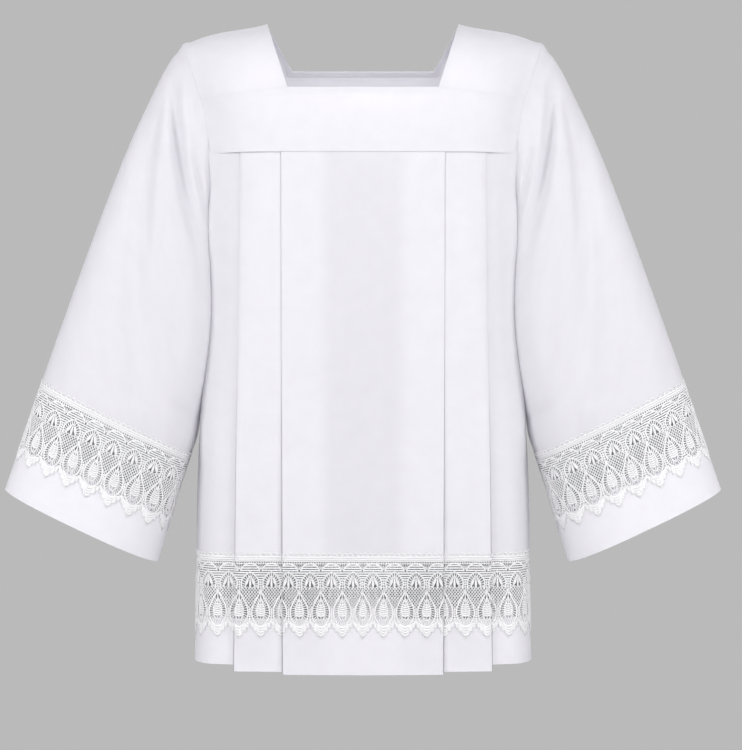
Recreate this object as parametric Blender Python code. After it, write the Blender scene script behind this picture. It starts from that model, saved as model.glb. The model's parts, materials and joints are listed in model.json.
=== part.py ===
"""A square-necked surplice, worn and filled out with no wearer.

Run it with: blender --background --python part.py

The garment is a hollow shell of cloth walls. X runs across the shoulders, Y from front to back and
Z up; the origin is where the wearer's shoulders carry it, midway between them. All tables below are
in millimetres, and to_metres() is the one place that turns them into Blender's metres.
"""

import math
from collections import namedtuple

import bmesh
import bpy
import numpy as np

# ---------------------------------------------------------------------------------------------
# Driving sizes, in millimetres
# ---------------------------------------------------------------------------------------------

CLOTH = 1.0  # wall of the single cloth and of the lace
DOUBLED = 1.5  # wall of the bands and shoulder pieces, which are two cloths thick
SEAM_GAP = 0.3  # between pieces that are sewn to each other
FACING_WIDTH = 6.0  # of the narrow facing that edges the neck
FACING_SLACK = 0.2  # more room between the facing and the cloth that it lies in
SLEEVE_CLEAR = 1.6  # the sleeve starts this far outside the armhole's edge

FRONT, BACK = -1, 1
LEFT, RIGHT = -1, 1

# Heights of the seams and edges.
FRONT_NECK_Z = -89.0
BACK_NECK_Z = -42.0
FRONT_BAND_HEM_Z = -172.0
BACK_BAND_HEM_Z = -150.0
SKIRT_HEM_Z = -705.0  # the cloth stops here and the lace goes on
LACE_HEM_Z = -779.5
SHOULDER_SEAM_DROP = 12.0  # the shoulder seams fall this much from the neck to the armhole

# Where the yoke's pieces have their rows and columns, which they share so that their seams fit.
MIDDLE_COLUMNS = (0.0, 0.33, 0.67)  # from the middle to the neck's corner
SHOULDER_COLUMNS = (0.2, 0.4, 0.6, 0.8, 0.92, 1.0)  # from the neck's corner to the armhole
BAND_ROWS = (0.25, 0.5, 0.75, 1.0)  # from the facing's lower edge down
SHOULDER_ROWS = (0.0, 0.15, 0.35, 0.55, 0.75, 0.9, 1.0, 1.2, 1.45, 1.7, 2.0)  # 1 is the top

# The neck opening is a rectangle whose sides flare out over the shoulders.
NECK_HALF_WIDTH = 98.0
NECK_HALF_WIDTH_ON_TOP = 129.0

# The body as level sections: straight front, back and sides with round corners.
Section = namedtuple("Section", "z half_width half_depth corner")
BODY = (
    Section(z=-860, half_width=224.5, half_depth=112, corner=66),
    Section(z=-700, half_width=222.5, half_depth=111, corner=66),
    Section(z=-600, half_width=221.0, half_depth=111, corner=66),
    Section(z=-545, half_width=218.0, half_depth=110, corner=66),
    Section(z=-494, half_width=212.0, half_depth=110, corner=67),
    Section(z=-440, half_width=206.0, half_depth=110, corner=68),
    Section(z=-343, half_width=201.5, half_depth=110, corner=70),
    Section(z=-300, half_width=203.0, half_depth=110, corner=73),
    Section(z=-262, half_width=206.5, half_depth=110, corner=78),
    Section(z=-225, half_width=211.0, half_depth=110, corner=90),
    Section(z=-172, half_width=226.0, half_depth=110, corner=103),
    Section(z=-101, half_width=238.0, half_depth=110, corner=109),
    Section(z=-60, half_width=245.0, half_depth=110, corner=109),
)

# The armhole: an upright oval seen from the side, and its reach from the middle above the chest.
ARMHOLE_TOP_Z = -18.0
ARMHOLE_BOTTOM_Z = -262.0
ARMHOLE_HALF_DEPTH = 76.0
CHEST_Z = -101.0  # below this the armhole lies on the body's own sections
Reach = namedtuple("Reach", "z x")
ARMHOLE_EDGE = (
    Reach(z=-101.0, x=210.0),
    Reach(z=-88.0, x=215.5),
    Reach(z=-67.0, x=222.5),
    Reach(z=-46.0, x=229.5),
    Reach(z=-18.0, x=240.0),
)

# The top of the shoulder, from the neck to the armhole.
Ridge = namedtuple("Ridge", "x z")
SHOULDER_TOP = (
    Ridge(x=129.0, z=9.0),
    Ridge(x=140.0, z=6.0),
    Ridge(x=166.0, z=1.5),
    Ridge(x=196.0, z=-3.5),
    Ridge(x=220.0, z=-10.0),
    Ridge(x=240.0, z=-18.0),
)

# The pleats of one half, from the middle outwards: where each pressed edge lies at the band and at
# the hem, measured round the body, how many layers it lies below the middle panel, and its hem.
Fold = namedtuple("Fold", "band hem layer hem_z columns")
PLEATS = (
    Fold(band=0.0, hem=0.0, layer=0, hem_z=-852.7, columns=0),
    Fold(band=106.6, hem=104.0, layer=0, hem_z=-852.0, columns=3),
    Fold(band=106.6, hem=104.0, layer=1, hem_z=-851.0, columns=1),
    Fold(band=51.0, hem=50.0, layer=1, hem_z=-850.0, columns=1),
    Fold(band=51.0, hem=50.0, layer=2, hem_z=-849.5, columns=1),
    Fold(band=162.0, hem=169.0, layer=2, hem_z=-848.2, columns=3),
    Fold(band=162.0, hem=169.0, layer=3, hem_z=-847.0, columns=1),
    Fold(band=110.0, hem=117.0, layer=3, hem_z=-845.0, columns=1),
    Fold(band=110.0, hem=117.0, layer=4, hem_z=-844.0, columns=1),
)
OUTER_PLEAT = PLEATS[5]  # ends at the outer pressed edge that shows
SIDE_HEM_Z = -840.0
SIDE_HEM_RISE = 1 / 3  # share of the side over which its hem rises to that
SIDE_COLUMNS = (0.14, 0.28, 0.38, 0.47, 0.56, 0.65, 0.74, 0.83, 0.91, 1.0)
LAYER_AT_BAND = 1.45  # from one pleat layer to the next
LAYER_AT_HEM = 2.6
SIDE_RISE = 45.0  # past the outer pleat the cloth comes out to the body's own line within this

# One sleeve ring a row: its outer and inner points seen from the front, how far forward it hangs,
# half its depth, how far its front and back are drawn in towards the body, and how boxy it is.
Ring = namedtuple("Ring", "run outer_x outer_z inner_x inner_z forward half_depth drawn_in boxy")
SLEEVE = (
    Ring(run=0, outer_x=240, outer_z=-18, inner_x=206.5, inner_z=-262,
         forward=0, half_depth=76, drawn_in=16, boxy=2.0),
    Ring(run=14, outer_x=252, outer_z=-30, inner_x=208, inner_z=-271,
         forward=2, half_depth=78, drawn_in=13, boxy=2.0),
    Ring(run=33, outer_x=264.5, outer_z=-52, inner_x=207.5, inner_z=-285,
         forward=5, half_depth=79, drawn_in=9, boxy=2.05),
    Ring(run=69, outer_x=286, outer_z=-97, inner_x=206, inner_z=-310,
         forward=11, half_depth=78, drawn_in=3, boxy=2.1),
    Ring(run=114, outer_x=310, outer_z=-152, inner_x=205, inner_z=-343,
         forward=19, half_depth=75, drawn_in=0, boxy=2.2),
    Ring(run=177, outer_x=339.5, outer_z=-230, inner_x=205, inner_z=-392,
         forward=29, half_depth=71, drawn_in=0, boxy=2.3),
    Ring(run=244, outer_x=368, outer_z=-310, inner_x=207.5, inner_z=-441,
         forward=37, half_depth=68, drawn_in=0, boxy=2.4),
    Ring(run=312, outer_x=395, outer_z=-388, inner_x=213.5, inner_z=-497,
         forward=44, half_depth=67, drawn_in=0, boxy=2.5),
    Ring(run=368, outer_x=415.5, outer_z=-447, inner_x=220.5, inner_z=-549,
         forward=48, half_depth=68, drawn_in=0, boxy=2.5),
    Ring(run=389, outer_x=422.5, outer_z=-468, inner_x=226.5, inner_z=-566,
         forward=49, half_depth=68, drawn_in=0, boxy=2.5),
    Ring(run=542, outer_x=471.5, outer_z=-613, inner_x=270.5, inner_z=-709,
         forward=53, half_depth=70, drawn_in=0, boxy=2.5),
)
SLEEVE_CLOTH_RUN = 400.0
SLEEVE_LACE_RUN = 474.0
CUFF_RUN = 542.0
SLEEVE_HEAD_RUN = 33.0  # the armhole's oval has turned into the sleeve's own rings here
SLEEVE_COLUMNS = 28
SLEEVE_ROWS = (4, 18, 38, 69, 104, 140, 177, 215, 255, 295, 335, 368)

# The soft troughs that hang from the shoulder down the sleeve, seen from the front and from the
# back: where each starts and ends, how far it bows to the outside, its depth and its width.
Trough = namedtuple("Trough", "face top_x top_z end_x end_z bow depth width")
SLEEVE_TROUGHS = (
    Trough(face=FRONT, top_x=272, top_z=-70, end_x=290, end_z=-505, bow=15, depth=9, width=20),
    Trough(face=FRONT, top_x=251, top_z=-70, end_x=222, end_z=-300, bow=3, depth=5, width=15),
    Trough(face=BACK, top_x=268, top_z=-80, end_x=300, end_z=-520, bow=12, depth=8, width=22),
    Trough(face=BACK, top_x=246, top_z=-95, end_x=232, end_z=-360, bow=4, depth=5, width=16),
)

WHITE_CLOTH = (0.87, 0.87, 0.90, 1.0)
WHITE_LACE = (0.90, 0.90, 0.93, 1.0)


# ---------------------------------------------------------------------------------------------
# Reading the tables
# ---------------------------------------------------------------------------------------------


def smooth(table, at, column, key="z"):
    """The value of a table's column at a key between its rows, on a curve through them."""
    rows = sorted(table, key=lambda row: getattr(row, key))
    keys = [getattr(row, key) for row in rows]
    values = [getattr(row, column) for row in rows]
    at = min(max(at, keys[0]), keys[-1])
    slopes = np.gradient(values, keys)
    i = min(int(np.searchsorted(keys, at, side="right")) - 1, len(keys) - 2)
    step = keys[i + 1] - keys[i]
    t = (at - keys[i]) / step
    return (
        values[i] * (1 + 2 * t) * (1 - t) ** 2
        + values[i + 1] * t * t * (3 - 2 * t)
        + step * (slopes[i] * t * (1 - t) ** 2 - slopes[i + 1] * t * t * (1 - t))
    )


def mix(a, b, share):
    return a + (b - a) * share


def ease(share):
    """0 to 1 with a soft start and end."""
    share = min(max(share, 0.0), 1.0)
    return share * share * (3 - 2 * share)


# ---------------------------------------------------------------------------------------------
# The body's level sections
# ---------------------------------------------------------------------------------------------


def section(z):
    return tuple(smooth(BODY, z, name) for name in ("half_width", "half_depth", "corner"))


def quarter_length(z):
    """Round the body from the middle of the front to the side seam."""
    half_width, half_depth, corner = section(z)
    return half_width - corner + math.pi / 2 * corner + half_depth - corner


def on_section(z, along, inward, face):
    """The point at that distance round the body from the middle of its front or back, moved in."""
    half_width, half_depth, corner = section(z)
    flat, arc = half_width - corner, math.pi / 2 * corner
    if along <= flat:
        return along, face * (half_depth - inward), z
    if along <= flat + arc:
        turn = (along - flat) / corner
        reach = corner - inward
        x = flat + reach * math.sin(turn)
        return x, face * (half_depth - corner + reach * math.cos(turn)), z
    return half_width - inward, face * (quarter_length(z) - along), z


def along_at_depth(z, y):
    """How far round the body the side is y from the middle of its depth."""
    half_width, half_depth, corner = section(z)
    flat, straight = half_width - corner, half_depth - corner
    if y <= straight:
        return quarter_length(z) - y
    return flat + corner * math.acos(min((y - straight) / corner, 1.0))


def depth_at(z, x):
    """Half the body's depth at that distance from its middle."""
    half_width, half_depth, corner = section(z)
    out = max(x - (half_width - corner), 0.0)
    return half_depth - corner + math.sqrt(max(corner * corner - out * out, 0.0))


# ---------------------------------------------------------------------------------------------
# The armhole
# ---------------------------------------------------------------------------------------------


def armhole_depth(z):
    middle = (ARMHOLE_TOP_Z + ARMHOLE_BOTTOM_Z) / 2
    half = (ARMHOLE_TOP_Z - ARMHOLE_BOTTOM_Z) / 2
    return ARMHOLE_HALF_DEPTH * math.sqrt(max(1 - ((z - middle) / half) ** 2, 0.0))


def armhole_reach(z):
    if z >= CHEST_Z:
        return smooth(ARMHOLE_EDGE, z, "x")
    return on_section(z, along_at_depth(z, armhole_depth(z)), 0.0, FRONT)[0]


def top_of_side(share, start):
    """The height of the skirt's upper edge that far between the outer tuck and the side seam."""
    heights = np.linspace(ARMHOLE_BOTTOM_Z, FRONT_BAND_HEM_Z, 40)
    shares = [
        (along_at_depth(z, armhole_depth(z)) - start) / (quarter_length(z) - start) for z in heights
    ]
    return float(np.interp(share, shares[::-1], heights[::-1]))


# ---------------------------------------------------------------------------------------------
# The yoke: front band, back band and the pieces over the shoulders
# ---------------------------------------------------------------------------------------------


def on_shoulder(across, turn, face):
    """A point over the shoulder. across runs from the neck (0) to the armhole (1), and below 0
    towards the middle of the back; turn is 0 at the chest and a quarter turn on the top."""
    rise = math.sin(turn)
    share = max(across, 0.0)
    base_z = mix(FRONT_NECK_Z, CHEST_Z, share) if face == FRONT else CHEST_Z
    top_x = mix(NECK_HALF_WIDTH_ON_TOP, SHOULDER_TOP[-1].x, share)
    top_z = smooth(SHOULDER_TOP, top_x, "z", key="x")
    z = mix(base_z, top_z, rise)
    edge_z = mix(CHEST_Z, ARMHOLE_TOP_Z, rise)
    if face == FRONT:
        neck_x = mix(NECK_HALF_WIDTH, NECK_HALF_WIDTH_ON_TOP, rise)
    else:
        corner_rise = (BACK_NECK_Z - CHEST_Z) / (SHOULDER_TOP[0].z - CHEST_Z)
        flare = max(rise - corner_rise, 0.0) / (1 - corner_rise)
        neck_x = mix(NECK_HALF_WIDTH, NECK_HALF_WIDTH_ON_TOP, flare)
    x = mix(neck_x, armhole_reach(edge_z), share) * (1 + min(across, 0.0))
    base_x = mix(NECK_HALF_WIDTH, armhole_reach(CHEST_Z), share) * (1 + min(across, 0.0))
    at_armhole = armhole_depth(edge_z) / armhole_depth(CHEST_Z)
    depth = depth_at(base_z, base_x) * mix(math.cos(turn), at_armhole, share)
    return x, face * depth, z


def shoulder_turn(z, across, face):
    """The turn at which a shoulder point has that height."""
    share = max(across, 0.0)
    base_z = mix(FRONT_NECK_Z, CHEST_Z, share) if face == FRONT else CHEST_Z
    top_x = mix(NECK_HALF_WIDTH_ON_TOP, SHOULDER_TOP[-1].x, share)
    top_z = smooth(SHOULDER_TOP, top_x, "z", key="x")
    return math.asin(min(max((z - base_z) / (top_z - base_z), 0.0), 1.0))


def neck_share():
    """The share of the way to the armhole at which the neck's corners lie."""
    return NECK_HALF_WIDTH / armhole_reach(CHEST_Z)


def on_band(side_share, z, face):
    """A point of the front or back band, side_share from the middle (0) to the armhole (1)."""
    if face == BACK and z > CHEST_Z:
        at_neck = neck_share()
        if side_share < at_neck:
            across = side_share / at_neck - 1
        else:
            across = (side_share - at_neck) / (1 - at_neck)
        return on_shoulder(across, shoulder_turn(z, across, BACK), BACK)
    x = side_share * armhole_reach(z)
    return x, face * depth_at(z, x), z


def shoulder_seam_z(side_share, face):
    """The height of the seam between a band and the shoulder pieces."""
    past_neck = max(side_share - neck_share(), 0.0) / (1 - neck_share())
    return (FRONT_NECK_Z if face == FRONT else BACK_NECK_Z) - SHOULDER_SEAM_DROP * past_neck


def facing_across():
    """The facing's width as a share of the way from the neck's corner to the armhole."""
    return FACING_WIDTH / (armhole_reach(CHEST_Z) - NECK_HALF_WIDTH)


def on_shoulder_row(across, row):
    """The face and the turn of a shoulder row, 0 at the front seam, 1 on top, 2 at the back seam."""
    if row <= 1:
        return FRONT, mix(2 * SEAM_GAP / depth_at(CHEST_Z, 0.0), math.pi / 2, row)
    seam_z = shoulder_seam_z(mix(neck_share(), 1, across), BACK) + SEAM_GAP
    return BACK, mix(math.pi / 2, shoulder_turn(seam_z, across, BACK), row - 1)


# ---------------------------------------------------------------------------------------------
# The pleated skirt, its lace and its hem band
# ---------------------------------------------------------------------------------------------


def skirt_columns():
    """One half's columns from the middle to the side seam. Each is a function from a height and the
    share of the way down to the hem to a place round the body and a distance in from its line."""
    columns = []
    for last, fold in zip(PLEATS, PLEATS[1:]):
        for i in range(fold.columns):
            columns.append((last, fold, i / fold.columns, None))
    tuck = PLEATS[-1]
    columns.append((tuck, tuck, 0.0, None))
    for share in SIDE_COLUMNS:
        columns.append((tuck, tuck, 0.0, share))
    return columns


def skirt_place(column, z):
    """(distance round the body, distance in from its line) of a column at that height."""
    last, fold, step, side_share = column
    down = (FRONT_BAND_HEM_Z - z) / (FRONT_BAND_HEM_Z - PLEATS[0].hem_z)
    layer_gap = mix(LAYER_AT_BAND, LAYER_AT_HEM, ease(down))
    along = mix(mix(last.band, last.hem, down), mix(fold.band, fold.hem, down), step)
    inward = mix(last.layer, fold.layer, step) * layer_gap
    if side_share is None:
        return along, inward
    past = mix(along, quarter_length(z), side_share)
    outer_pleat = mix(OUTER_PLEAT.band, OUTER_PLEAT.hem, down)
    return past, inward * (1 - ease((past - outer_pleat) / SIDE_RISE))


def column_hem(column):
    last, fold, step, side_share = column
    if side_share is None:
        return mix(last.hem_z, fold.hem_z, step)
    return mix(PLEATS[-1].hem_z, SIDE_HEM_Z, ease(side_share / SIDE_HEM_RISE))


def column_top(column, band_hem_z):
    side_share = column[3]
    if side_share is None:
        return band_hem_z - SEAM_GAP
    armhole_z = top_of_side(side_share, PLEATS[-1].band)
    if armhole_z >= FRONT_BAND_HEM_Z - 1e-6:
        return band_hem_z - SEAM_GAP
    return armhole_z


# ---------------------------------------------------------------------------------------------
# The sleeve
# ---------------------------------------------------------------------------------------------


def armhole_ring(angle):
    middle = (ARMHOLE_TOP_Z + ARMHOLE_BOTTOM_Z) / 2
    half = (ARMHOLE_TOP_Z - ARMHOLE_BOTTOM_Z) / 2
    z = middle + half * math.cos(angle)
    return armhole_reach(z), -ARMHOLE_HALF_DEPTH * math.sin(angle), z


def boxed(value, boxy):
    return math.copysign(abs(value) ** (2 / boxy), value)


def on_ring(run, angle):
    """A point of the sleeve: angle 0 is its outer edge, a quarter turn its front."""
    outer = (smooth(SLEEVE, run, "outer_x", "run"), smooth(SLEEVE, run, "outer_z", "run"))
    inner = (smooth(SLEEVE, run, "inner_x", "run"), smooth(SLEEVE, run, "inner_z", "run"))
    boxy = smooth(SLEEVE, run, "boxy", "run")
    across, deep = boxed(math.cos(angle), boxy), boxed(math.sin(angle), boxy)
    x = mix(inner[0], outer[0], (1 + across) / 2)
    x -= smooth(SLEEVE, run, "drawn_in", "run") * math.sin(angle) ** 2
    z = mix(inner[1], outer[1], (1 + across) / 2)
    y = -smooth(SLEEVE, run, "forward", "run") - smooth(SLEEVE, run, "half_depth", "run") * deep
    return x, y, z


def trough_depth(x, z, face):
    """How far the sleeve is pressed in at that place by the troughs of that face."""
    pressed = 0.0
    for trough in SLEEVE_TROUGHS:
        down = (trough.top_z - z) / (trough.top_z - trough.end_z)
        if trough.face != face or not 0 < down < 1:
            continue
        centre = mix(trough.top_x, trough.end_x, down) + trough.bow * math.sin(math.pi * down)
        shape = math.exp(-(((x - centre) / trough.width) ** 2))
        pressed += trough.depth * shape * math.sin(math.pi * down) ** 0.6
    return pressed


def on_sleeve(run, angle):
    x, y, z = on_ring(run, angle)
    first = armhole_ring(angle)
    blend = ease(run / SLEEVE_HEAD_RUN)
    x, y, z = (mix(a, b, blend) for a, b in zip(first, (x, y, z)))
    facing = math.sin(angle)
    face = FRONT if facing > 0 else BACK
    y -= face * trough_depth(x, z, face) * abs(facing) ** 0.5
    return x + SLEEVE_CLEAR, y, z


# ---------------------------------------------------------------------------------------------
# Making the objects
# ---------------------------------------------------------------------------------------------


def to_metres(point, side=RIGHT):
    x, y, z = point
    return side * x * 0.001, y * 0.001, z * 0.001


def clear_scene():
    for obj in list(bpy.data.objects):
        bpy.data.objects.remove(obj, do_unlink=True)


def make_material(name, colour, roughness):
    material = bpy.data.materials.new(name)
    material.use_nodes = True
    shader = material.node_tree.nodes["Principled BSDF"]
    shader.inputs["Base Color"].default_value = colour
    shader.inputs["Roughness"].default_value = roughness
    return material


def cloth_wall(name, rows, thickness, material, parent, closed=False):
    """A cloth wall through rows of points, given a thickness to both sides of them. A closed wall's
    rows are rings, whose first and last points are the same."""
    mesh = bmesh.new()
    bmesh.ops.create_grid(mesh, x_segments=len(rows[0]) - 1, y_segments=len(rows) - 1, size=1.0)
    mesh.verts.ensure_lookup_table()
    flat = [point for row in rows for point in row]
    for vertex, point in zip(mesh.verts, flat):
        vertex.co = point
    if closed:
        bmesh.ops.remove_doubles(mesh, verts=mesh.verts, dist=1e-6)
    data = bpy.data.meshes.new(name)
    mesh.to_mesh(data)
    mesh.free()
    data.materials.append(material)
    data.shade_smooth()
    data.set_sharp_from_angle(angle=math.radians(40))
    obj = bpy.data.objects.new(name, data)
    bpy.context.scene.collection.objects.link(obj)
    obj.parent = parent
    wall = obj.modifiers.new("Wall", "SOLIDIFY")
    wall.thickness = thickness * 0.001
    wall.offset = 0.0
    wall.use_even_offset = True
    wall.use_quality_normals = True
    return obj


def both_halves(half_row):
    """A row across the whole garment from its right half, middle first."""
    left = [to_metres(point, LEFT) for point in reversed(half_row[1:])]
    return left + [to_metres(point) for point in half_row]


def make_band(face, hem_z, name, material, parent):
    beyond = (0.0, facing_across()) + SHOULDER_COLUMNS
    shares = [share * neck_share() for share in MIDDLE_COLUMNS]
    shares += [mix(neck_share(), 1, across) for across in beyond]
    rows = []
    for lower in (None, 0.0) + BAND_ROWS:
        row = []
        for share in shares:
            top = shoulder_seam_z(share, face)
            z = top if lower is None else mix(top - FACING_WIDTH, hem_z, lower)
            row.append(on_band(share, z, face))
        rows.append(both_halves(row))
    return cloth_wall(name, rows, DOUBLED, material, parent)


def make_shoulder(side, name, material, parent):
    rows = []
    for step in SHOULDER_ROWS:
        row = []
        for across in (0.0, facing_across()) + SHOULDER_COLUMNS:
            face, turn = on_shoulder_row(across, step)
            row.append(to_metres(on_shoulder(across, turn, face), side))
        rows.append(row)
    return cloth_wall(name, rows, DOUBLED, material, parent)


def skirt_rows(face, low_of, high_of, steps):
    """Rows of the pleated cloth between two heights that may differ from column to column."""
    rows = []
    columns = skirt_columns()
    for step in steps:
        row = []
        for column in columns:
            z = mix(high_of(column), low_of(column), step)
            along, inward = skirt_place(column, z)
            row.append(on_section(z, along, inward, face))
        row[-1] = (row[-1][0], face * SEAM_GAP / 2, row[-1][2])  # the side seam
        rows.append(both_halves(row))
    return rows


def make_skirt(face, band_hem_z, name, material, parent):
    steps = (0.0, 0.07, 0.2, 0.38, 0.58, 0.79, 1.0)
    rows = skirt_rows(face, lambda column: SKIRT_HEM_Z + SEAM_GAP / 2,
                      lambda column: column_top(column, band_hem_z), steps)
    return cloth_wall(name, rows, CLOTH, material, parent)


def make_body_lace(face, name, material, parent):
    rows = skirt_rows(face, lambda column: LACE_HEM_Z + SEAM_GAP / 2,
                      lambda column: SKIRT_HEM_Z - SEAM_GAP / 2, (0.0, 1.0))
    return cloth_wall(name, rows, CLOTH, material, parent)


def make_hem_band(face, name, material, parent):
    rows = skirt_rows(face, column_hem, lambda column: LACE_HEM_Z - SEAM_GAP / 2, (0.0, 1.0))
    return cloth_wall(name, rows, CLOTH, material, parent)


def sleeve_rows(runs, side):
    rows = []
    for run in runs:
        ring = [on_sleeve(run, 2 * math.pi * i / SLEEVE_COLUMNS) for i in range(SLEEVE_COLUMNS)]
        ring.append(ring[0])
        rows.append([to_metres(point, side) for point in ring])
    return rows


def make_sleeve(side, name, material, parent):
    runs = (0.0,) + SLEEVE_ROWS + (SLEEVE_CLOTH_RUN - SEAM_GAP / 2,)
    return cloth_wall(name, sleeve_rows(runs, side), CLOTH, material, parent, closed=True)


def make_sleeve_lace(side, name, material, parent):
    runs = (SLEEVE_CLOTH_RUN + SEAM_GAP / 2, SLEEVE_LACE_RUN - SEAM_GAP / 2)
    return cloth_wall(name, sleeve_rows(runs, side), CLOTH, material, parent, closed=True)


def make_cuff(side, name, material, parent):
    runs = (SLEEVE_LACE_RUN + SEAM_GAP / 2, CUFF_RUN)
    return cloth_wall(name, sleeve_rows(runs, side), CLOTH, material, parent, closed=True)


def make_neck_facing(material, parent):
    """The narrow facing inside the neck: a loop of an edge row and a row FACING_WIDTH from it."""
    inset = (DOUBLED + CLOTH) / 2 + SEAM_GAP + FACING_SLACK
    edge, inner = [], []

    def add(at_edge, at_inner, toward):
        for row, point in ((edge, at_edge), (inner, at_inner)):
            row.append(tuple(value + inset * way for value, way in zip(point, toward)))

    def add_to_band(face, share, inner_share, toward):
        top = shoulder_seam_z(share, face)
        add(on_band(share, top, face), on_band(inner_share, top - FACING_WIDTH, face), toward)

    past_corner = mix(neck_share(), 1, facing_across())
    for column in MIDDLE_COLUMNS:
        add_to_band(FRONT, column * neck_share(), column * neck_share(), (0, 1, 0))
    add_to_band(FRONT, neck_share(), past_corner, (0, 1, 0))
    for step in SHOULDER_ROWS[1:-1]:
        face, turn = on_shoulder_row(0.0, step)
        toward = (0, -face * math.cos(turn), -math.sin(turn))
        inner_turn = on_shoulder_row(facing_across(), step)[1]
        add(on_shoulder(0.0, turn, face), on_shoulder(facing_across(), inner_turn, face), toward)
    turn = shoulder_turn(BACK_NECK_Z, 0.0, BACK)
    toward = (0, -math.cos(turn), -math.sin(turn))
    add_to_band(BACK, neck_share(), past_corner, toward)
    for column in reversed(MIDDLE_COLUMNS):
        add_to_band(BACK, column * neck_share(), column * neck_share(), toward)
    rows = []
    for half in (edge, inner):
        right = [to_metres(point) for point in half]
        left = [to_metres(point, LEFT) for point in reversed(half[1:-1])]
        rows.append(right + left + right[:1])
    return cloth_wall("neck_facing", rows, CLOTH, material, parent, closed=True)


def main():
    clear_scene()
    cloth = make_material("white_cloth", WHITE_CLOTH, 0.75)
    lace = make_material("white_lace", WHITE_LACE, 0.7)
    shoulders = bpy.data.objects.new("wearer_shoulders", None)
    bpy.context.scene.collection.objects.link(shoulders)

    make_band(FRONT, FRONT_BAND_HEM_Z, "front_band", cloth, shoulders)
    make_band(BACK, BACK_BAND_HEM_Z, "back_band", cloth, shoulders)
    make_neck_facing(cloth, shoulders)
    for face, name, band_hem_z in ((FRONT, "front", FRONT_BAND_HEM_Z), (BACK, "back", BACK_BAND_HEM_Z)):
        make_skirt(face, band_hem_z, name + "_skirt", cloth, shoulders)
        make_body_lace(face, name + "_lace", lace, shoulders)
        make_hem_band(face, name + "_hem_band", cloth, shoulders)
    for side, name in ((LEFT, "left"), (RIGHT, "right")):
        make_shoulder(side, "shoulder_" + name, cloth, shoulders)
        make_sleeve(side, "sleeve_" + name, cloth, shoulders)
        make_sleeve_lace(side, "sleeve_lace_" + name, lace, shoulders)
        make_cuff(side, "cuff_band_" + name, cloth, shoulders)


main()
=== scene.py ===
# %% [markdown]
# # A square-necked surplice with guipure lace
#
# The garment is white cloth, filled out as if somebody wore it. It has a plain yoke, a pleated
# body, two wide sleeves, and a band of lace let in above the hem and above each cuff.
# This lesson builds its looks round the construction model: every cloth becomes a thin shell with
# its creases, and the lace is made of real threads.

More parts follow.
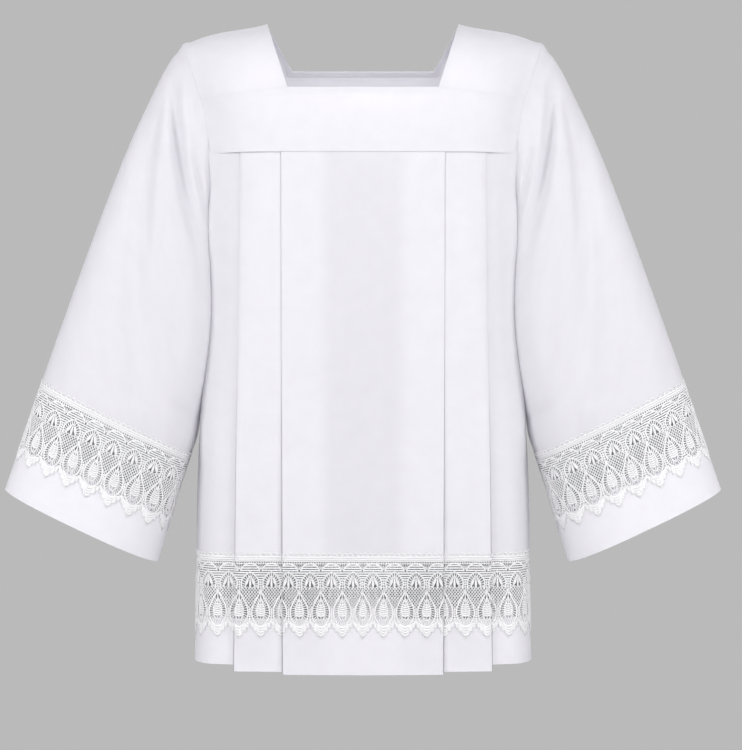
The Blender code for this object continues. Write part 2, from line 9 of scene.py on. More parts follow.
# %% Load the construction model
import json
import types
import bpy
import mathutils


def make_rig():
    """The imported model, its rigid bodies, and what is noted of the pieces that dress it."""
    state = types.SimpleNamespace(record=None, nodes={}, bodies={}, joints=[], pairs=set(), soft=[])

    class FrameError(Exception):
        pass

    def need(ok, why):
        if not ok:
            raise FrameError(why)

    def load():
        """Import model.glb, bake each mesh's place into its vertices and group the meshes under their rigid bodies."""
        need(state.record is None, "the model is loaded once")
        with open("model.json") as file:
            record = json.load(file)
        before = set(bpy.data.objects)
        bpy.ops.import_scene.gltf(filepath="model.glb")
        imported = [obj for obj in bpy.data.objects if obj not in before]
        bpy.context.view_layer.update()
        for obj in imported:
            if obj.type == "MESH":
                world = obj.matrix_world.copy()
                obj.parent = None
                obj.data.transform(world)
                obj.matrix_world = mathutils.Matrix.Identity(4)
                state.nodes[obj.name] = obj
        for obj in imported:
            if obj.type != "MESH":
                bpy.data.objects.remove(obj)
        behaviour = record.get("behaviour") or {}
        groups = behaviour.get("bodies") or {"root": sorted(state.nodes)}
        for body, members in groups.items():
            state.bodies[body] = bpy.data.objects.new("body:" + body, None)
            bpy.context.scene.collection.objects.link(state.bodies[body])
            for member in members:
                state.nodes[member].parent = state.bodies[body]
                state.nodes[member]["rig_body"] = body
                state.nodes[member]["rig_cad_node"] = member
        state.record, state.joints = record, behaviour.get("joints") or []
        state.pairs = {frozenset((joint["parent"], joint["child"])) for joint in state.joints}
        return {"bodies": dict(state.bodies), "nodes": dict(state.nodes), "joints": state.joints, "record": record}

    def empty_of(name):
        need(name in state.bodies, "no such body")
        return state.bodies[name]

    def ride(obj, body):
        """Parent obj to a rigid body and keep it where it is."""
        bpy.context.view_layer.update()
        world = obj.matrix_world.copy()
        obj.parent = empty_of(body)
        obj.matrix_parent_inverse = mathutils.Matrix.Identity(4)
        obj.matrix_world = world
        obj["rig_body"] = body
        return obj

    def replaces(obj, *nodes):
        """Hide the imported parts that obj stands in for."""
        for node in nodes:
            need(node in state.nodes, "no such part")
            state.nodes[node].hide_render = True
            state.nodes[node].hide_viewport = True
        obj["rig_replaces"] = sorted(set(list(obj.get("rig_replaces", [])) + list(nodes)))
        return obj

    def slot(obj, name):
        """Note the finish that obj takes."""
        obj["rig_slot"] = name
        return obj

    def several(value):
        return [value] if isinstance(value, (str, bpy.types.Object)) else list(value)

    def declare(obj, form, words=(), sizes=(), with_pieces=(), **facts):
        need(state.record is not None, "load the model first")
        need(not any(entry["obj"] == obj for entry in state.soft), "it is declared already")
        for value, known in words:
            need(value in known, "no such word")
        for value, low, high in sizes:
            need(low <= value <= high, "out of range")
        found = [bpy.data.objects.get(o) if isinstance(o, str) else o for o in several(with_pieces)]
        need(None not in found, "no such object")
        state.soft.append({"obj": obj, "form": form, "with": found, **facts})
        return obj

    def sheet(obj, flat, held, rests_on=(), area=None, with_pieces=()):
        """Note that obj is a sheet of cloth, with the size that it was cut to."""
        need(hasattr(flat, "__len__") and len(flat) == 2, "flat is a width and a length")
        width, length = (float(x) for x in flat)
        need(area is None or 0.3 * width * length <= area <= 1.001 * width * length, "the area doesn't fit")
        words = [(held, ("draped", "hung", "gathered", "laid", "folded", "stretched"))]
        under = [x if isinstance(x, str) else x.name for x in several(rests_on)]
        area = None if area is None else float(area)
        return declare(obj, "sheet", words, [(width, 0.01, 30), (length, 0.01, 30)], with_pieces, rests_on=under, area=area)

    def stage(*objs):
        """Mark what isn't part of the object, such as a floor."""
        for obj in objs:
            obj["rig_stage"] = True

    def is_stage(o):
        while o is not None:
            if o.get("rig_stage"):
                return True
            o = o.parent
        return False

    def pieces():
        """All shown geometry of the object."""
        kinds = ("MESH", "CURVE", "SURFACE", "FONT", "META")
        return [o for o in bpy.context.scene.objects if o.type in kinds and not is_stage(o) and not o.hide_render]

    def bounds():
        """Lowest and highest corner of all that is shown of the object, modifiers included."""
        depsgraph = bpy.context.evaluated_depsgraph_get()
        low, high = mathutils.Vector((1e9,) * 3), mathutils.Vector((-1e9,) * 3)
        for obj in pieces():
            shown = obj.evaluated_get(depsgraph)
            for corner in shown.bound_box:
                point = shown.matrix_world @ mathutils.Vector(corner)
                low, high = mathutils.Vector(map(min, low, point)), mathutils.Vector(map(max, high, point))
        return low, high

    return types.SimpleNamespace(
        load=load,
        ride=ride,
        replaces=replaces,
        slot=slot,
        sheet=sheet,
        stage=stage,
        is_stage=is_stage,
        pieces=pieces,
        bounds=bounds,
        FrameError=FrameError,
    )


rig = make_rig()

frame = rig.load()
cad_box = [list(corner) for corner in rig.bounds()]

import json
import math
from collections import namedtuple

import bmesh
import bpy
import numpy as np
from mathutils import Matrix, Vector

MM = 0.001  # all sizes below are in millimetres, and this turns them into Blender's metres
FRONT, BACK = -1, 1  # signs of y
LEFT, RIGHT = -1, 1  # signs of x
MIRROR = np.array((-1.0, 1.0, 1.0))
print("construction model from", cad_box[0], "to", cad_box[1])

# %% [markdown]
# ## Helpers for reading a table
#
# A pattern cutter draws a curve through a few measured points. `smooth` does the same with the rows
# of a table, for one height or for a whole array of heights at once.


# %% Curves through a table's rows
def smooth(table, at, column, key="z"):
    """The value of a table's column at keys between its rows, on a curve through them."""
    rows = sorted(table, key=lambda row: getattr(row, key))
    keys = np.array([getattr(row, key) for row in rows], float)
    values = np.array([getattr(row, column) for row in rows], float)
    slopes = np.gradient(values, keys)
    at = np.clip(at, keys[0], keys[-1])
    i = np.clip(np.searchsorted(keys, at, side="right") - 1, 0, len(keys) - 2)
    step = keys[i + 1] - keys[i]
    t = (at - keys[i]) / step
    return (
        values[i] * (1 + 2 * t) * (1 - t) ** 2
        + values[i + 1] * t * t * (3 - 2 * t)
        + step * (slopes[i] * t * (1 - t) ** 2 - slopes[i + 1] * t * t * (1 - t))
    )


def mix(a, b, share):
    return a + (b - a) * share


def lengths_along(line):
    """Each point's distance along a line from its first point."""
    return np.concatenate(([0.0], np.linalg.norm(np.diff(line, axis=0), axis=1).cumsum()))


def ease(share):
    """0 to 1 with a soft start and end."""
    share = np.clip(share, 0.0, 1.0)
    return share * share * (3 - 2 * share)


def bump(distance, width):
    """1 at a crease's middle, falling softly to 0 on both sides."""
    return np.exp(-((distance / width) ** 2))


# %% [markdown]
# ## The body
#
# A surplice hangs as a wide tube with a flat front and back and rounded sides. The same table of
# level sections that shapes the construction model is used here, so the cloth lands on it.

# %% Level sections of the body
Section = namedtuple("Section", "z half_width half_depth corner")
BODY = (
    Section(-860, 224.5, 112, 66),
    Section(-700, 222.5, 111, 66),
    Section(-600, 221.0, 111, 66),
    Section(-545, 218.0, 110, 66),
    Section(-494, 212.0, 110, 67),
    Section(-440, 206.0, 110, 68),
    Section(-343, 201.5, 110, 70),
    Section(-300, 203.0, 110, 73),
    Section(-262, 206.5, 110, 78),
    Section(-225, 211.0, 110, 90),
    Section(-172, 226.0, 110, 103),
    Section(-101, 238.0, 110, 109),
    Section(-60, 245.0, 110, 109),
)


def section(z):
    return [smooth(BODY, z, name) for name in ("half_width", "half_depth", "corner")]


def quarter_length(z):
    """Round the body from the middle of the front to the side seam."""
    half_width, half_depth, corner = section(z)
    return half_width - corner + math.pi / 2 * corner + half_depth - corner


def on_section(z, along, inward, face):
    """The point at that distance round the body from the middle of its front or back, moved in."""
    half_width, half_depth, corner = section(z)
    flat, arc = half_width - corner, math.pi / 2 * corner
    turn = np.clip((along - flat) / corner, 0, math.pi / 2)
    reach = corner - inward
    x = np.minimum(along, flat) + reach * np.sin(turn)
    down_the_side = np.maximum(along - flat - arc, 0)
    y = half_depth - corner + reach * np.cos(turn) - down_the_side
    return x, face * y, z


def along_at_depth(z, y):
    """How far round the body the side is y from the middle of its depth."""
    half_width, half_depth, corner = section(z)
    straight = half_depth - corner
    turned = half_width - corner + corner * np.arccos(np.clip((y - straight) / corner, 0, 1))
    return np.where(y <= straight, quarter_length(z) - y, turned)


def depth_at(z, x):
    """Half the body's depth at that distance from its middle."""
    half_width, half_depth, corner = section(z)
    out = np.maximum(x - (half_width - corner), 0.0)
    return half_depth - corner + np.sqrt(np.maximum(corner * corner - out * out, 0.0))


# %% [markdown]
# ## The armhole and the shoulder
#
# The sleeve is set into an upright oval. Between it and the neck the cloth goes over the shoulder,
# and the neck is a rectangle whose sides flare out on top.

# %% Armhole, neck and shoulder
ARMHOLE_TOP_Z = -18.0
ARMHOLE_BOTTOM_Z = -262.0
ARMHOLE_HALF_DEPTH = 76.0
ARMHOLE_MIDDLE_Z = (ARMHOLE_TOP_Z + ARMHOLE_BOTTOM_Z) / 2
ARMHOLE_HALF_HEIGHT = (ARMHOLE_TOP_Z - ARMHOLE_BOTTOM_Z) / 2
CHEST_Z = -101.0  # below this the armhole lies on the body's own sections
FRONT_NECK_Z = -89.0
BACK_NECK_Z = -42.0
FRONT_BAND_HEM_Z = -172.0
BACK_BAND_HEM_Z = -150.0
SHOULDER_SEAM_DROP = 12.0
NECK_HALF_WIDTH = 98.0
NECK_HALF_WIDTH_ON_TOP = 129.0
FACING_WIDTH = 6.0

Reach = namedtuple("Reach", "z x")
ARMHOLE_EDGE = (
    Reach(-101.0, 210.0),
    Reach(-88.0, 215.5),
    Reach(-67.0, 222.5),
    Reach(-46.0, 229.5),
    Reach(-18.0, 240.0),
)
Ridge = namedtuple("Ridge", "x z")
SHOULDER_TOP = (
    Ridge(129.0, 9.0),
    Ridge(140.0, 6.0),
    Ridge(166.0, 1.5),
    Ridge(196.0, -3.5),
    Ridge(220.0, -10.0),
    Ridge(240.0, -18.0),
)


def armhole_depth(z):
    level = (z - ARMHOLE_MIDDLE_Z) / ARMHOLE_HALF_HEIGHT
    return ARMHOLE_HALF_DEPTH * np.sqrt(np.maximum(1 - level**2, 0.0))


def armhole_reach(z):
    on_body = on_section(z, along_at_depth(z, armhole_depth(z)), 0.0, FRONT)[0]
    return np.where(z >= CHEST_Z, smooth(ARMHOLE_EDGE, z, "x"), on_body)


def shoulder_heights(share, face):
    base_z = mix(FRONT_NECK_Z, CHEST_Z, share) if face == FRONT else CHEST_Z + 0 * share
    top_x = mix(NECK_HALF_WIDTH_ON_TOP, SHOULDER_TOP[-1].x, share)
    return base_z, smooth(SHOULDER_TOP, top_x, "z", key="x")


def on_shoulder(across, turn, face):
    """A point over the shoulder. across runs from the neck (0) to the armhole (1), and below 0
    towards the middle of the back; turn is 0 at the chest and a quarter turn on the top."""
    rise = np.sin(turn)
    share = np.maximum(across, 0.0)
    toward_middle = 1 + np.minimum(across, 0.0)
    base_z, top_z = shoulder_heights(share, face)
    edge_z = mix(CHEST_Z, ARMHOLE_TOP_Z, rise)
    if face == FRONT:
        flare = rise
    else:
        corner_rise = (BACK_NECK_Z - CHEST_Z) / (SHOULDER_TOP[0].z - CHEST_Z)
        flare = np.maximum(rise - corner_rise, 0.0) / (1 - corner_rise)
    neck_x = mix(NECK_HALF_WIDTH, NECK_HALF_WIDTH_ON_TOP, flare)
    x = mix(neck_x, armhole_reach(edge_z), share) * toward_middle
    base_x = mix(NECK_HALF_WIDTH, armhole_reach(CHEST_Z), share) * toward_middle
    at_armhole = armhole_depth(edge_z) / armhole_depth(CHEST_Z)
    depth = depth_at(base_z, base_x) * mix(np.cos(turn), at_armhole, share)
    return x, face * depth, mix(base_z, top_z, rise)


def shoulder_turn(z, across, face):
    """The turn at which a shoulder point has that height."""
    base_z, top_z = shoulder_heights(np.maximum(across, 0.0), face)
    return np.arcsin(np.clip((z - base_z) / (top_z - base_z), 0.0, 1.0))


NECK_SHARE = NECK_HALF_WIDTH / float(armhole_reach(CHEST_Z))  # where the neck's corners lie


def on_band(side_share, z, face):
    """A point of the front or back band, side_share from the middle (0) to the armhole (1)."""
    x = side_share * armhole_reach(z)
    low = (x, face * depth_at(z, x), z)
    if face == FRONT:
        return low
    past_neck = (side_share - NECK_SHARE) / (1 - NECK_SHARE)
    across = np.where(side_share < NECK_SHARE, side_share / NECK_SHARE - 1, past_neck)
    high = on_shoulder(across, shoulder_turn(z, across, BACK), BACK)
    return tuple(np.where(z > CHEST_Z, a, b) for a, b in zip(high, low))


def shoulder_seam_z(side_share, face):
    """The height of the seam between a band and the shoulder pieces."""
    past_neck = np.maximum(side_share - NECK_SHARE, 0.0) / (1 - NECK_SHARE)
    return (FRONT_NECK_Z if face == FRONT else BACK_NECK_Z) - SHOULDER_SEAM_DROP * past_neck


print("armhole", round(2 * ARMHOLE_HALF_HEIGHT), "mm high, neck", round(2 * NECK_HALF_WIDTH), "mm wide")

# %% [markdown]
# ## Finishes
#
# The cloth is poly-cotton: a plain weave of polyester and cotton, bleached, pressed and matt with
# a faint sheen. The lace is guipure: matt cotton thread stitched on a ground that is dissolved.
# Both are white, so their looks come from how light rakes over weave, thread and fold.


# %% Colours and nodes
def linear(code):
    """A hex sRGB colour as the linear colour that a shader takes."""
    parts = [int(code[i : i + 2], 16) / 255 for i in (1, 3, 5)]
    return tuple(p / 12.92 if p <= 0.04045 else ((p + 0.055) / 1.055) ** 2.4 for p in parts) + (1.0,)


def new_material(name, finish):
    """A material and its shader, whose own sockets take the constants of the finish."""
    material = bpy.data.materials.new(name)
    material.use_nodes = True
    shader = material.node_tree.nodes["Principled BSDF"]
    feed(material, shader, finish)
    return material, shader


def feed(material, node, sockets):
    """Gives each of a node's sockets its constant, or the output that feeds it."""
    for socket, value in sockets.items():
        if isinstance(value, bpy.types.NodeSocket):
            material.node_tree.links.new(value, node.inputs[socket])
        else:
            node.inputs[socket].default_value = value


def add_node(material, kind, sockets, output, **settings):
    """Adds one node and gives its output."""
    node = material.node_tree.nodes.new("ShaderNode" + kind)
    for name, value in settings.items():
        setattr(node, name, value)
    feed(material, node, sockets)
    return node.outputs[output]


# %% [markdown]
# ### Bleached poly-cotton
#
# Warp and weft are two sets of waves across the flat cloth, which the piece's own UV map gives in metres. A weight on
# each piece mixes a greyer and a whiter white. In part it follows the layers: where two or more cloths lie together
# less light gets through, so they look whiter. In part it is painted light and shade, set piece by piece: single cloth
# over the dark inside is painted greyer, and the neck facing is painted whiter as a strip that catches the light. Slow
# unevenness from pressing is a second, much wider bump.

# %% Woven poly-cotton
THREAD_SPACING = 0.6  # real threads lie 0.3 mm apart; drawn twice as wide, so that they show at all
SLUBS = 25.0  # thicker and thinner yarn shows as soft patches this wide
PRESSING = 70.0  # and the iron leaves waves this wide
WAVE_AT_ONE = math.pi / 10  # how long the Wave texture's waves are at a scale of 1
# painted shade and light: the greyer white is single cloth painted as if in shade, the whiter one layered cloth and
# strips painted as if lit
SINGLE_AND_SHADED_WHITE, DOUBLED_AND_LIT_WHITE = "#F1F0F4", "#F8F7FB"
THROUGH_CLOTH = 0.4  # the share of the light that thin cotton lets through
NOISE_LOW, NOISE_HIGH = 0.3, 0.7  # most of a noise lies between these


def let_light_through(material, shader, colour, normal, share):
    """Wires the shader, and mixes in a Translucent one, because thin white cotton glows from behind."""
    feed(material, shader, {"Base Color": colour, "Normal": normal})
    glow = add_node(material, "BsdfTranslucent", {"Color": colour, "Normal": normal}, "BSDF")
    both = add_node(material, "MixShader", {0: share, 1: shader.outputs["BSDF"], 2: glow}, "Shader")
    feed(material, material.node_tree.nodes["Material Output"], {"Surface": both})


def make_poly_cotton():
    """Plain-woven bleached poly-cotton: matt white, with a faint sheen where it turns away."""
    material, shader = new_material("bleached_poly_cotton", {
        "Roughness": 0.85, "Specular IOR Level": 0.3, "Sheen Weight": 0.12, "Sheen Roughness": 0.4})
    flat = add_node(material, "UVMap", {}, "UV", uv_map="flat")
    # painted light and shade: the piece's weight mixes the greyer and the whiter white
    doubled = add_node(material, "Attribute", {}, "Fac", attribute_name="doubled")
    white = add_node(material, "Mix", {
        "Factor": doubled, "A": linear(SINGLE_AND_SHADED_WHITE), "B": linear(DOUBLED_AND_LIT_WHITE)},
        "Result", data_type="RGBA")
    slubs = add_node(material, "TexNoise", {
        "Vector": flat, "Scale": 1 / (SLUBS * MM), "Detail": 3.0, "Roughness": 0.6}, "Fac")
    tone = add_node(material, "MapRange", {
        "Value": slubs, "From Min": NOISE_LOW, "From Max": NOISE_HIGH, "To Min": 0.975}, "Result")
    colour = add_node(material, "VectorMath", {0: white, "Scale": tone}, "Vector", operation="SCALE")
    warp, weft = (add_node(material, "TexWave", {
        "Vector": flat, "Scale": WAVE_AT_ONE / (THREAD_SPACING * MM), "Distortion": 0.4, "Detail": 1.0},
        "Fac", bands_direction=direction) for direction in ("X", "Y"))
    weave = add_node(material, "Math", {0: warp, 1: weft}, "Value", operation="MULTIPLY")
    pressing = add_node(material, "TexNoise", {
        "Vector": flat, "Scale": 1 / (PRESSING * MM), "Detail": 2.0, "Roughness": 0.45}, "Fac")
    slow = add_node(material, "Bump", {
        "Height": pressing, "Strength": 0.5, "Distance": 3.0 * MM}, "Normal")
    fine = add_node(material, "Bump", {
        "Height": weave, "Normal": slow, "Strength": 0.35, "Distance": 0.12 * MM}, "Normal")
    let_light_through(material, shader, colour, fine, THROUGH_CLOTH)
    return material


poly_cotton = make_poly_cotton()
print("made", poly_cotton.name)

# %% [markdown]
# ### Cotton lace thread and sewing thread
#
# Guipure is thick embroidery in twisted cotton. The twist makes each thread's surface uneven, too finely to see with
# the whole garment in view, so it is drawn a little coarser. The lace threads' lower sides and backs are painted
# darker: painted shade for the light that packed threads keep from each other.
# Polyester sewing thread is smoother, and catches a small highlight on each stitch.

# %% Threads
TWIST = 1.1  # one turn of the real thread's twist is 0.7 mm long
# painted shade: the lower side and back of each lace thread are darkened, down to this share of their white
PAINTED_SHADE_IN_DEPTH = 0.3  # packed threads keep the light from each other's sides and backs


def make_thread(name, code, finish, depth, through):
    """Twisted white thread: round, matt, with a ripple that catches the light, and painted shade that darkens its
    lower side and back.
    """
    material, shader = new_material(name, {"Sheen Weight": 0.1, **finish})
    place = add_node(material, "TexCoord", {}, "Object")
    twist = add_node(material, "TexNoise", {
        "Vector": place, "Scale": 1 / (TWIST * MM), "Detail": 2.0, "Roughness": 0.5}, "Fac")
    # painted shade: the thread's depth attribute darkens its colour towards its lower side
    deep = add_node(material, "Attribute", {}, "Fac", attribute_name="deep")
    shade = add_node(material, "MapRange", {
        "Value": deep, "To Min": 1.0, "To Max": PAINTED_SHADE_IN_DEPTH}, "Result")
    tone = add_node(material, "MapRange", {
        "Value": twist, "From Min": NOISE_LOW, "From Max": NOISE_HIGH, "To Min": 0.96}, "Result")
    both = add_node(material, "Math", {0: tone, 1: shade}, "Value", operation="MULTIPLY")
    colour = add_node(material, "VectorMath", {0: linear(code)[:3], "Scale": both}, "Vector",
                      operation="SCALE")
    ripple = add_node(material, "Bump", {
        "Height": twist, "Strength": 0.4, "Distance": depth * MM}, "Normal")
    let_light_through(material, shader, colour, ripple, through)
    return material


lace_cotton = make_thread("matt_cotton_lace_thread", "#F7F6F9",
                          {"Roughness": 0.8, "Specular IOR Level": 0.25}, depth=0.2, through=0.12)
sewing_thread = make_thread("polyester_sewing_thread", "#FBFAFD",
                            {"Roughness": 0.45, "Specular IOR Level": 0.5}, depth=0.1, through=0.1)
print("made", lace_cotton.name, "and", sewing_thread.name)

# %% [markdown]
# ## From a chart to a cloth
#
# Each cloth is worked out as a chart: an array of points in rows and columns, as on squared pattern
# paper. A flat grid from Blender takes the chart's points, keeps the flat sizes as its UV map, and
# a Solidify modifier gives it the thickness of cloth. Seams are pressed edges, so along each of
# them the cloth rises to a low welt or dips to a groove.

# %% Charts, welts and shells
Cloth = namedtuple("Cloth", "chart normals flat")
SINGLE, DOUBLE = 0.5, 0.9  # thickness of one cloth and of two
EDGE = 0.35  # a row of points this close inside each edge keeps the shading even up to the edge


def stack(points):
    return np.stack(np.broadcast_arrays(*points), axis=-1).astype(float)


def mirrored(half):
    """A chart of the whole width from its right half, middle column first."""
    return np.concatenate((half[:, :0:-1] * MIRROR, half), axis=1)


def normals_of(chart, inside):
    """Unit normals of a chart that point away from a point inside the garment."""
    normals = np.cross(np.gradient(chart, axis=0), np.gradient(chart, axis=1))
    normals /= np.maximum(np.linalg.norm(normals, axis=2, keepdims=True), 1e-9)
    return normals * np.sign(np.sum(normals * (chart - np.array(inside))))


def flat_distances(chart):
    """Each point's distance along its row and down its column, as on the flat cloth."""
    across = np.linalg.norm(np.diff(chart, axis=1), axis=2).cumsum(axis=1)
    across = np.pad(across, ((0, 0), (1, 0)))
    across -= across[:, across.shape[1] // 2][:, None]
    down = np.linalg.norm(np.diff(chart, axis=0), axis=2).cumsum(axis=0)
    return np.stack((across, -np.pad(down, ((1, 0), (0, 0)))), axis=-1)


def between_points(values, row, column):
    """A chart's values at places between its rows and columns."""
    i, j = row.astype(int), column.astype(int)
    down, across = (row - i)[:, None], (column - j)[:, None]
    above = mix(values[i, j], values[i, j + 1], across)
    return mix(above, mix(values[i + 1, j], values[i + 1, j + 1], across), down)


def distance_to(chart, line):
    """How far each of a chart's points is from a line of points."""
    nearest = np.full(chart.shape[:2], 1e9)
    for point in line:
        nearest = np.minimum(nearest, np.linalg.norm(chart - point, axis=2))
    return nearest


def make_cloth(chart, inside=(0.0, 0.0, -300.0), seams=()):
    """A chart with its normals. Each seam is (line, height, distance, width) of a welt or groove."""
    normals = normals_of(chart, inside)
    lift = np.zeros(chart.shape[:2])
    for line, height, distance, width in seams:
        lift += height * bump(distance_to(chart, line) - distance, width)
    chart = chart + normals * lift[..., None]
    return Cloth(chart, normals_of(chart, inside), flat_distances(chart))


def place_in_scene(name, data):
    obj = bpy.data.objects.new(name, data)
    bpy.context.scene.collection.objects.link(obj)
    return obj


def show(obj, material, slot, *nodes):
    """Gives a finished piece its finish, and fixes it to the frame."""
    obj.data.materials.append(material)
    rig.ride(obj, "root")
    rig.slot(obj, slot)
    if nodes:
        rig.replaces(obj, *nodes)
    return obj


def trimmed(values, chart, closed):
    """The values with one more row close inside each edge, and on open cloths one more column."""
    for turned in (False,) if closed else (False, True):
        if turned:
            values, chart = values.swapaxes(0, 1), chart.swapaxes(0, 1)
        first, last = (min(EDGE / np.linalg.norm(chart[i] - chart[j], axis=-1).mean(), 0.5)
                       for i, j in ((0, 1), (-1, -2)))
        values = np.concatenate((values[:1], mix(values[:1], values[1:2], first), values[1:-1],
                                 mix(values[-1:], values[-2:-1], last), values[-1:]))
    return values if closed else values.swapaxes(0, 1)


def make_shell(name, cloth, thickness, doubled, closed=False):
    """A cloth as a shell on its chart. A closed cloth's first and last columns are the same."""
    # the weight of the whiter white: partly where cloths lie doubled, partly painted light and shade set piece by
    # piece
    doubled = np.broadcast_to(doubled, cloth.chart.shape[:2])
    points, flat, share = (trimmed(values, cloth.chart, closed)
                           for values in (cloth.chart, cloth.flat, doubled[..., None]))
    rows, columns = points.shape[:2]
    grid = bmesh.new()
    bmesh.ops.create_grid(grid, x_segments=columns - 1, y_segments=rows - 1, size=1.0)
    data = bpy.data.meshes.new(name)
    grid.to_mesh(data)
    data.vertices.foreach_set("co", (points * MM).astype(np.float32).ravel())
    corners = np.empty(len(data.loops), np.int32)
    data.loops.foreach_get("vertex_index", corners)
    flat = (flat.reshape(-1, 2) * MM).astype(np.float32)
    data.uv_layers.new(name="flat").data.foreach_set("uv", flat[corners].ravel())
    share = share.astype(np.float32).ravel()
    data.attributes.new("doubled", "FLOAT", "POINT").data.foreach_set("value", share)
    grid.clear()
    grid.from_mesh(data)
    if closed:
        bmesh.ops.remove_doubles(grid, verts=grid.verts, dist=0.001 * MM)
    grid.normal_update()
    middle = tuple(size // 2 for size in cloth.chart.shape[:2])
    nearest = min(grid.faces, key=lambda f: np.linalg.norm(
        np.array(f.calc_center_median()) / MM - cloth.chart[middle]))
    if np.dot(cloth.normals[middle], np.array(nearest.normal)) < 0:
        bmesh.ops.reverse_faces(grid, faces=grid.faces)
    grid.to_mesh(data)
    grid.free()
    data.shade_smooth()
    shell = place_in_scene(name, data)
    wall = shell.modifiers.new("Cloth thickness", "SOLIDIFY")
    wall.thickness = thickness * MM
    wall.offset = 0.0
    return shell


def declare(shell, cloth, held, rests_on=(), with_pieces=()):
    """Says what flat cloth the piece was cut from: its widest width, its length and its area."""
    across = np.diff(cloth.flat[..., 0], axis=1).sum(axis=1)
    down = -np.diff(cloth.flat[..., 1], axis=0).sum(axis=0)
    sides = (np.diff(cloth.chart, axis=0)[:, :-1], np.diff(cloth.chart, axis=1)[:-1])
    area = np.linalg.norm(np.cross(*sides), axis=2).sum() * MM * MM
    width, length = float(across.max() * MM), float(down.max() * MM)
    share = min(area / (width * length), 1.0)
    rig.sheet(shell, flat=(width, length), held=held, area=share * width * length,
             rests_on=rests_on, with_pieces=with_pieces)
    print(f"{shell.name}: cut {width * 1000:.0f} x {length * 1000:.0f} mm, {area:.3f} square metres")


# %% [markdown]
# ## Seam lines
#
# The armhole seam is felled towards the body, so there it stands up as a welt, with a groove on the
# sleeve's side. The shoulder seams lie nearly flat.

# %% Lines of the armhole and shoulder seams
def armhole_ring(angle):
    z = ARMHOLE_MIDDLE_Z + ARMHOLE_HALF_HEIGHT * np.cos(angle)
    return armhole_reach(z), -ARMHOLE_HALF_DEPTH * np.sin(angle), z


def both_sides(line):
    return np.concatenate((line, line * MIRROR))


def shoulder_seam(face):
    shares = np.linspace(NECK_SHARE, 1, 30)
    return both_sides(stack(on_band(shares, shoulder_seam_z(shares, face), face)))


ARMHOLES = both_sides(stack(armhole_ring(np.linspace(0, 2 * math.pi, 160))))
BODY_WELT = ((ARMHOLES, 2.4, 0.0, 6.0),)
SHOULDER_WELT = [(shoulder_seam(face), 0.2, 3.0, 2.4) for face in (FRONT, BACK)]
print("armhole seam", round(lengths_along(ARMHOLES[: len(ARMHOLES) // 2])[-1]), "mm round")

# %% [markdown]
# ## The yoke
#
# Front band, back band and the pieces over the shoulders are double cloth. The lower edge of each
# band is turned under and stitched down over the pleats, so it stands a little proud of them.

# %% Front and back band
SEAM_LAP = 1.0  # the band reaches this far up under the shoulder piece's edge
BAND_PROUD = 0.4  # how far a band's lower edge stands out over the pleats
BAND_EDGE = 9.0  # over this height


def band_chart(face, hem_z):
    shares = np.concatenate((np.linspace(0, NECK_SHARE, 26)[:-1], np.linspace(NECK_SHARE, 1, 32)))
    rows = np.linspace(0, 1, 34)[:, None]
    top = shoulder_seam_z(shares, face)[None, :] + SEAM_LAP
    z = mix(top, hem_z, rows)
    half = stack(on_band(np.broadcast_to(shares, z.shape), z, face))
    half[..., 1] += face * BAND_PROUD * (1 - ease((z - hem_z) / BAND_EDGE))
    return mirrored(half)


bands = {}
for face, name, hem_z in ((FRONT, "front", FRONT_BAND_HEM_Z), (BACK, "back", BACK_BAND_HEM_Z)):
    cloth = make_cloth(band_chart(face, hem_z), seams=[*BODY_WELT, *SHOULDER_WELT])
    # painted shade: though double cloth, the band is painted halfway between the greyer and the whiter white
    shell = make_shell(name + "_band_cloth", cloth, DOUBLE, 0.5)
    bands[face] = (show(shell, poly_cotton, "cloth", name + "_band"), cloth)

# %% Over the shoulders
FACING_ACROSS = FACING_WIDTH / (float(armhole_reach(CHEST_Z)) - NECK_HALF_WIDTH)
SEAM_GAP = 0.3


def on_shoulder_row(across, row):
    """Face and turn of a shoulder row, 0 at the front seam, 1 on top, 2 at the back seam."""
    if row <= 1:
        return FRONT, mix(2 * SEAM_GAP / float(depth_at(CHEST_Z, 0.0)), math.pi / 2, row) + 0 * across
    seam_z = shoulder_seam_z(mix(NECK_SHARE, 1, across), BACK) + SEAM_GAP
    return BACK, mix(math.pi / 2, shoulder_turn(seam_z, across, BACK), row - 1)


def shoulder_chart(side):
    across = np.linspace(0, 1, 40)
    rows = []
    for row in np.linspace(0, 2, 61):
        face, turn = on_shoulder_row(across, row)
        rows.append(stack(on_shoulder(across, turn, face)))
    return np.array(rows) * np.array((side, 1.0, 1.0))


for side, name in ((LEFT, "left"), (RIGHT, "right")):
    cloth = make_cloth(shoulder_chart(side), seams=[*BODY_WELT, *SHOULDER_WELT])
    # painted shade: though double cloth, the shoulder piece is painted halfway between the greyer and the whiter white
    shell = make_shell("shoulder_cloth_" + name, cloth, DOUBLE, 0.5)
    show(shell, poly_cotton, "cloth", "shoulder_" + name)
    declare(shell, cloth, "draped")

# %% [markdown]
# ## The neck facing
#
# A narrow strip turned in round the neck finishes the raw edge. It shows inside the back neck as a lighter edge, which
# is partly painted light: though it is single cloth, it takes the whiter white. Its line follows the neck edge, a
# little further in than the yoke.

# %% Facing
FACING_INSET = 0.75


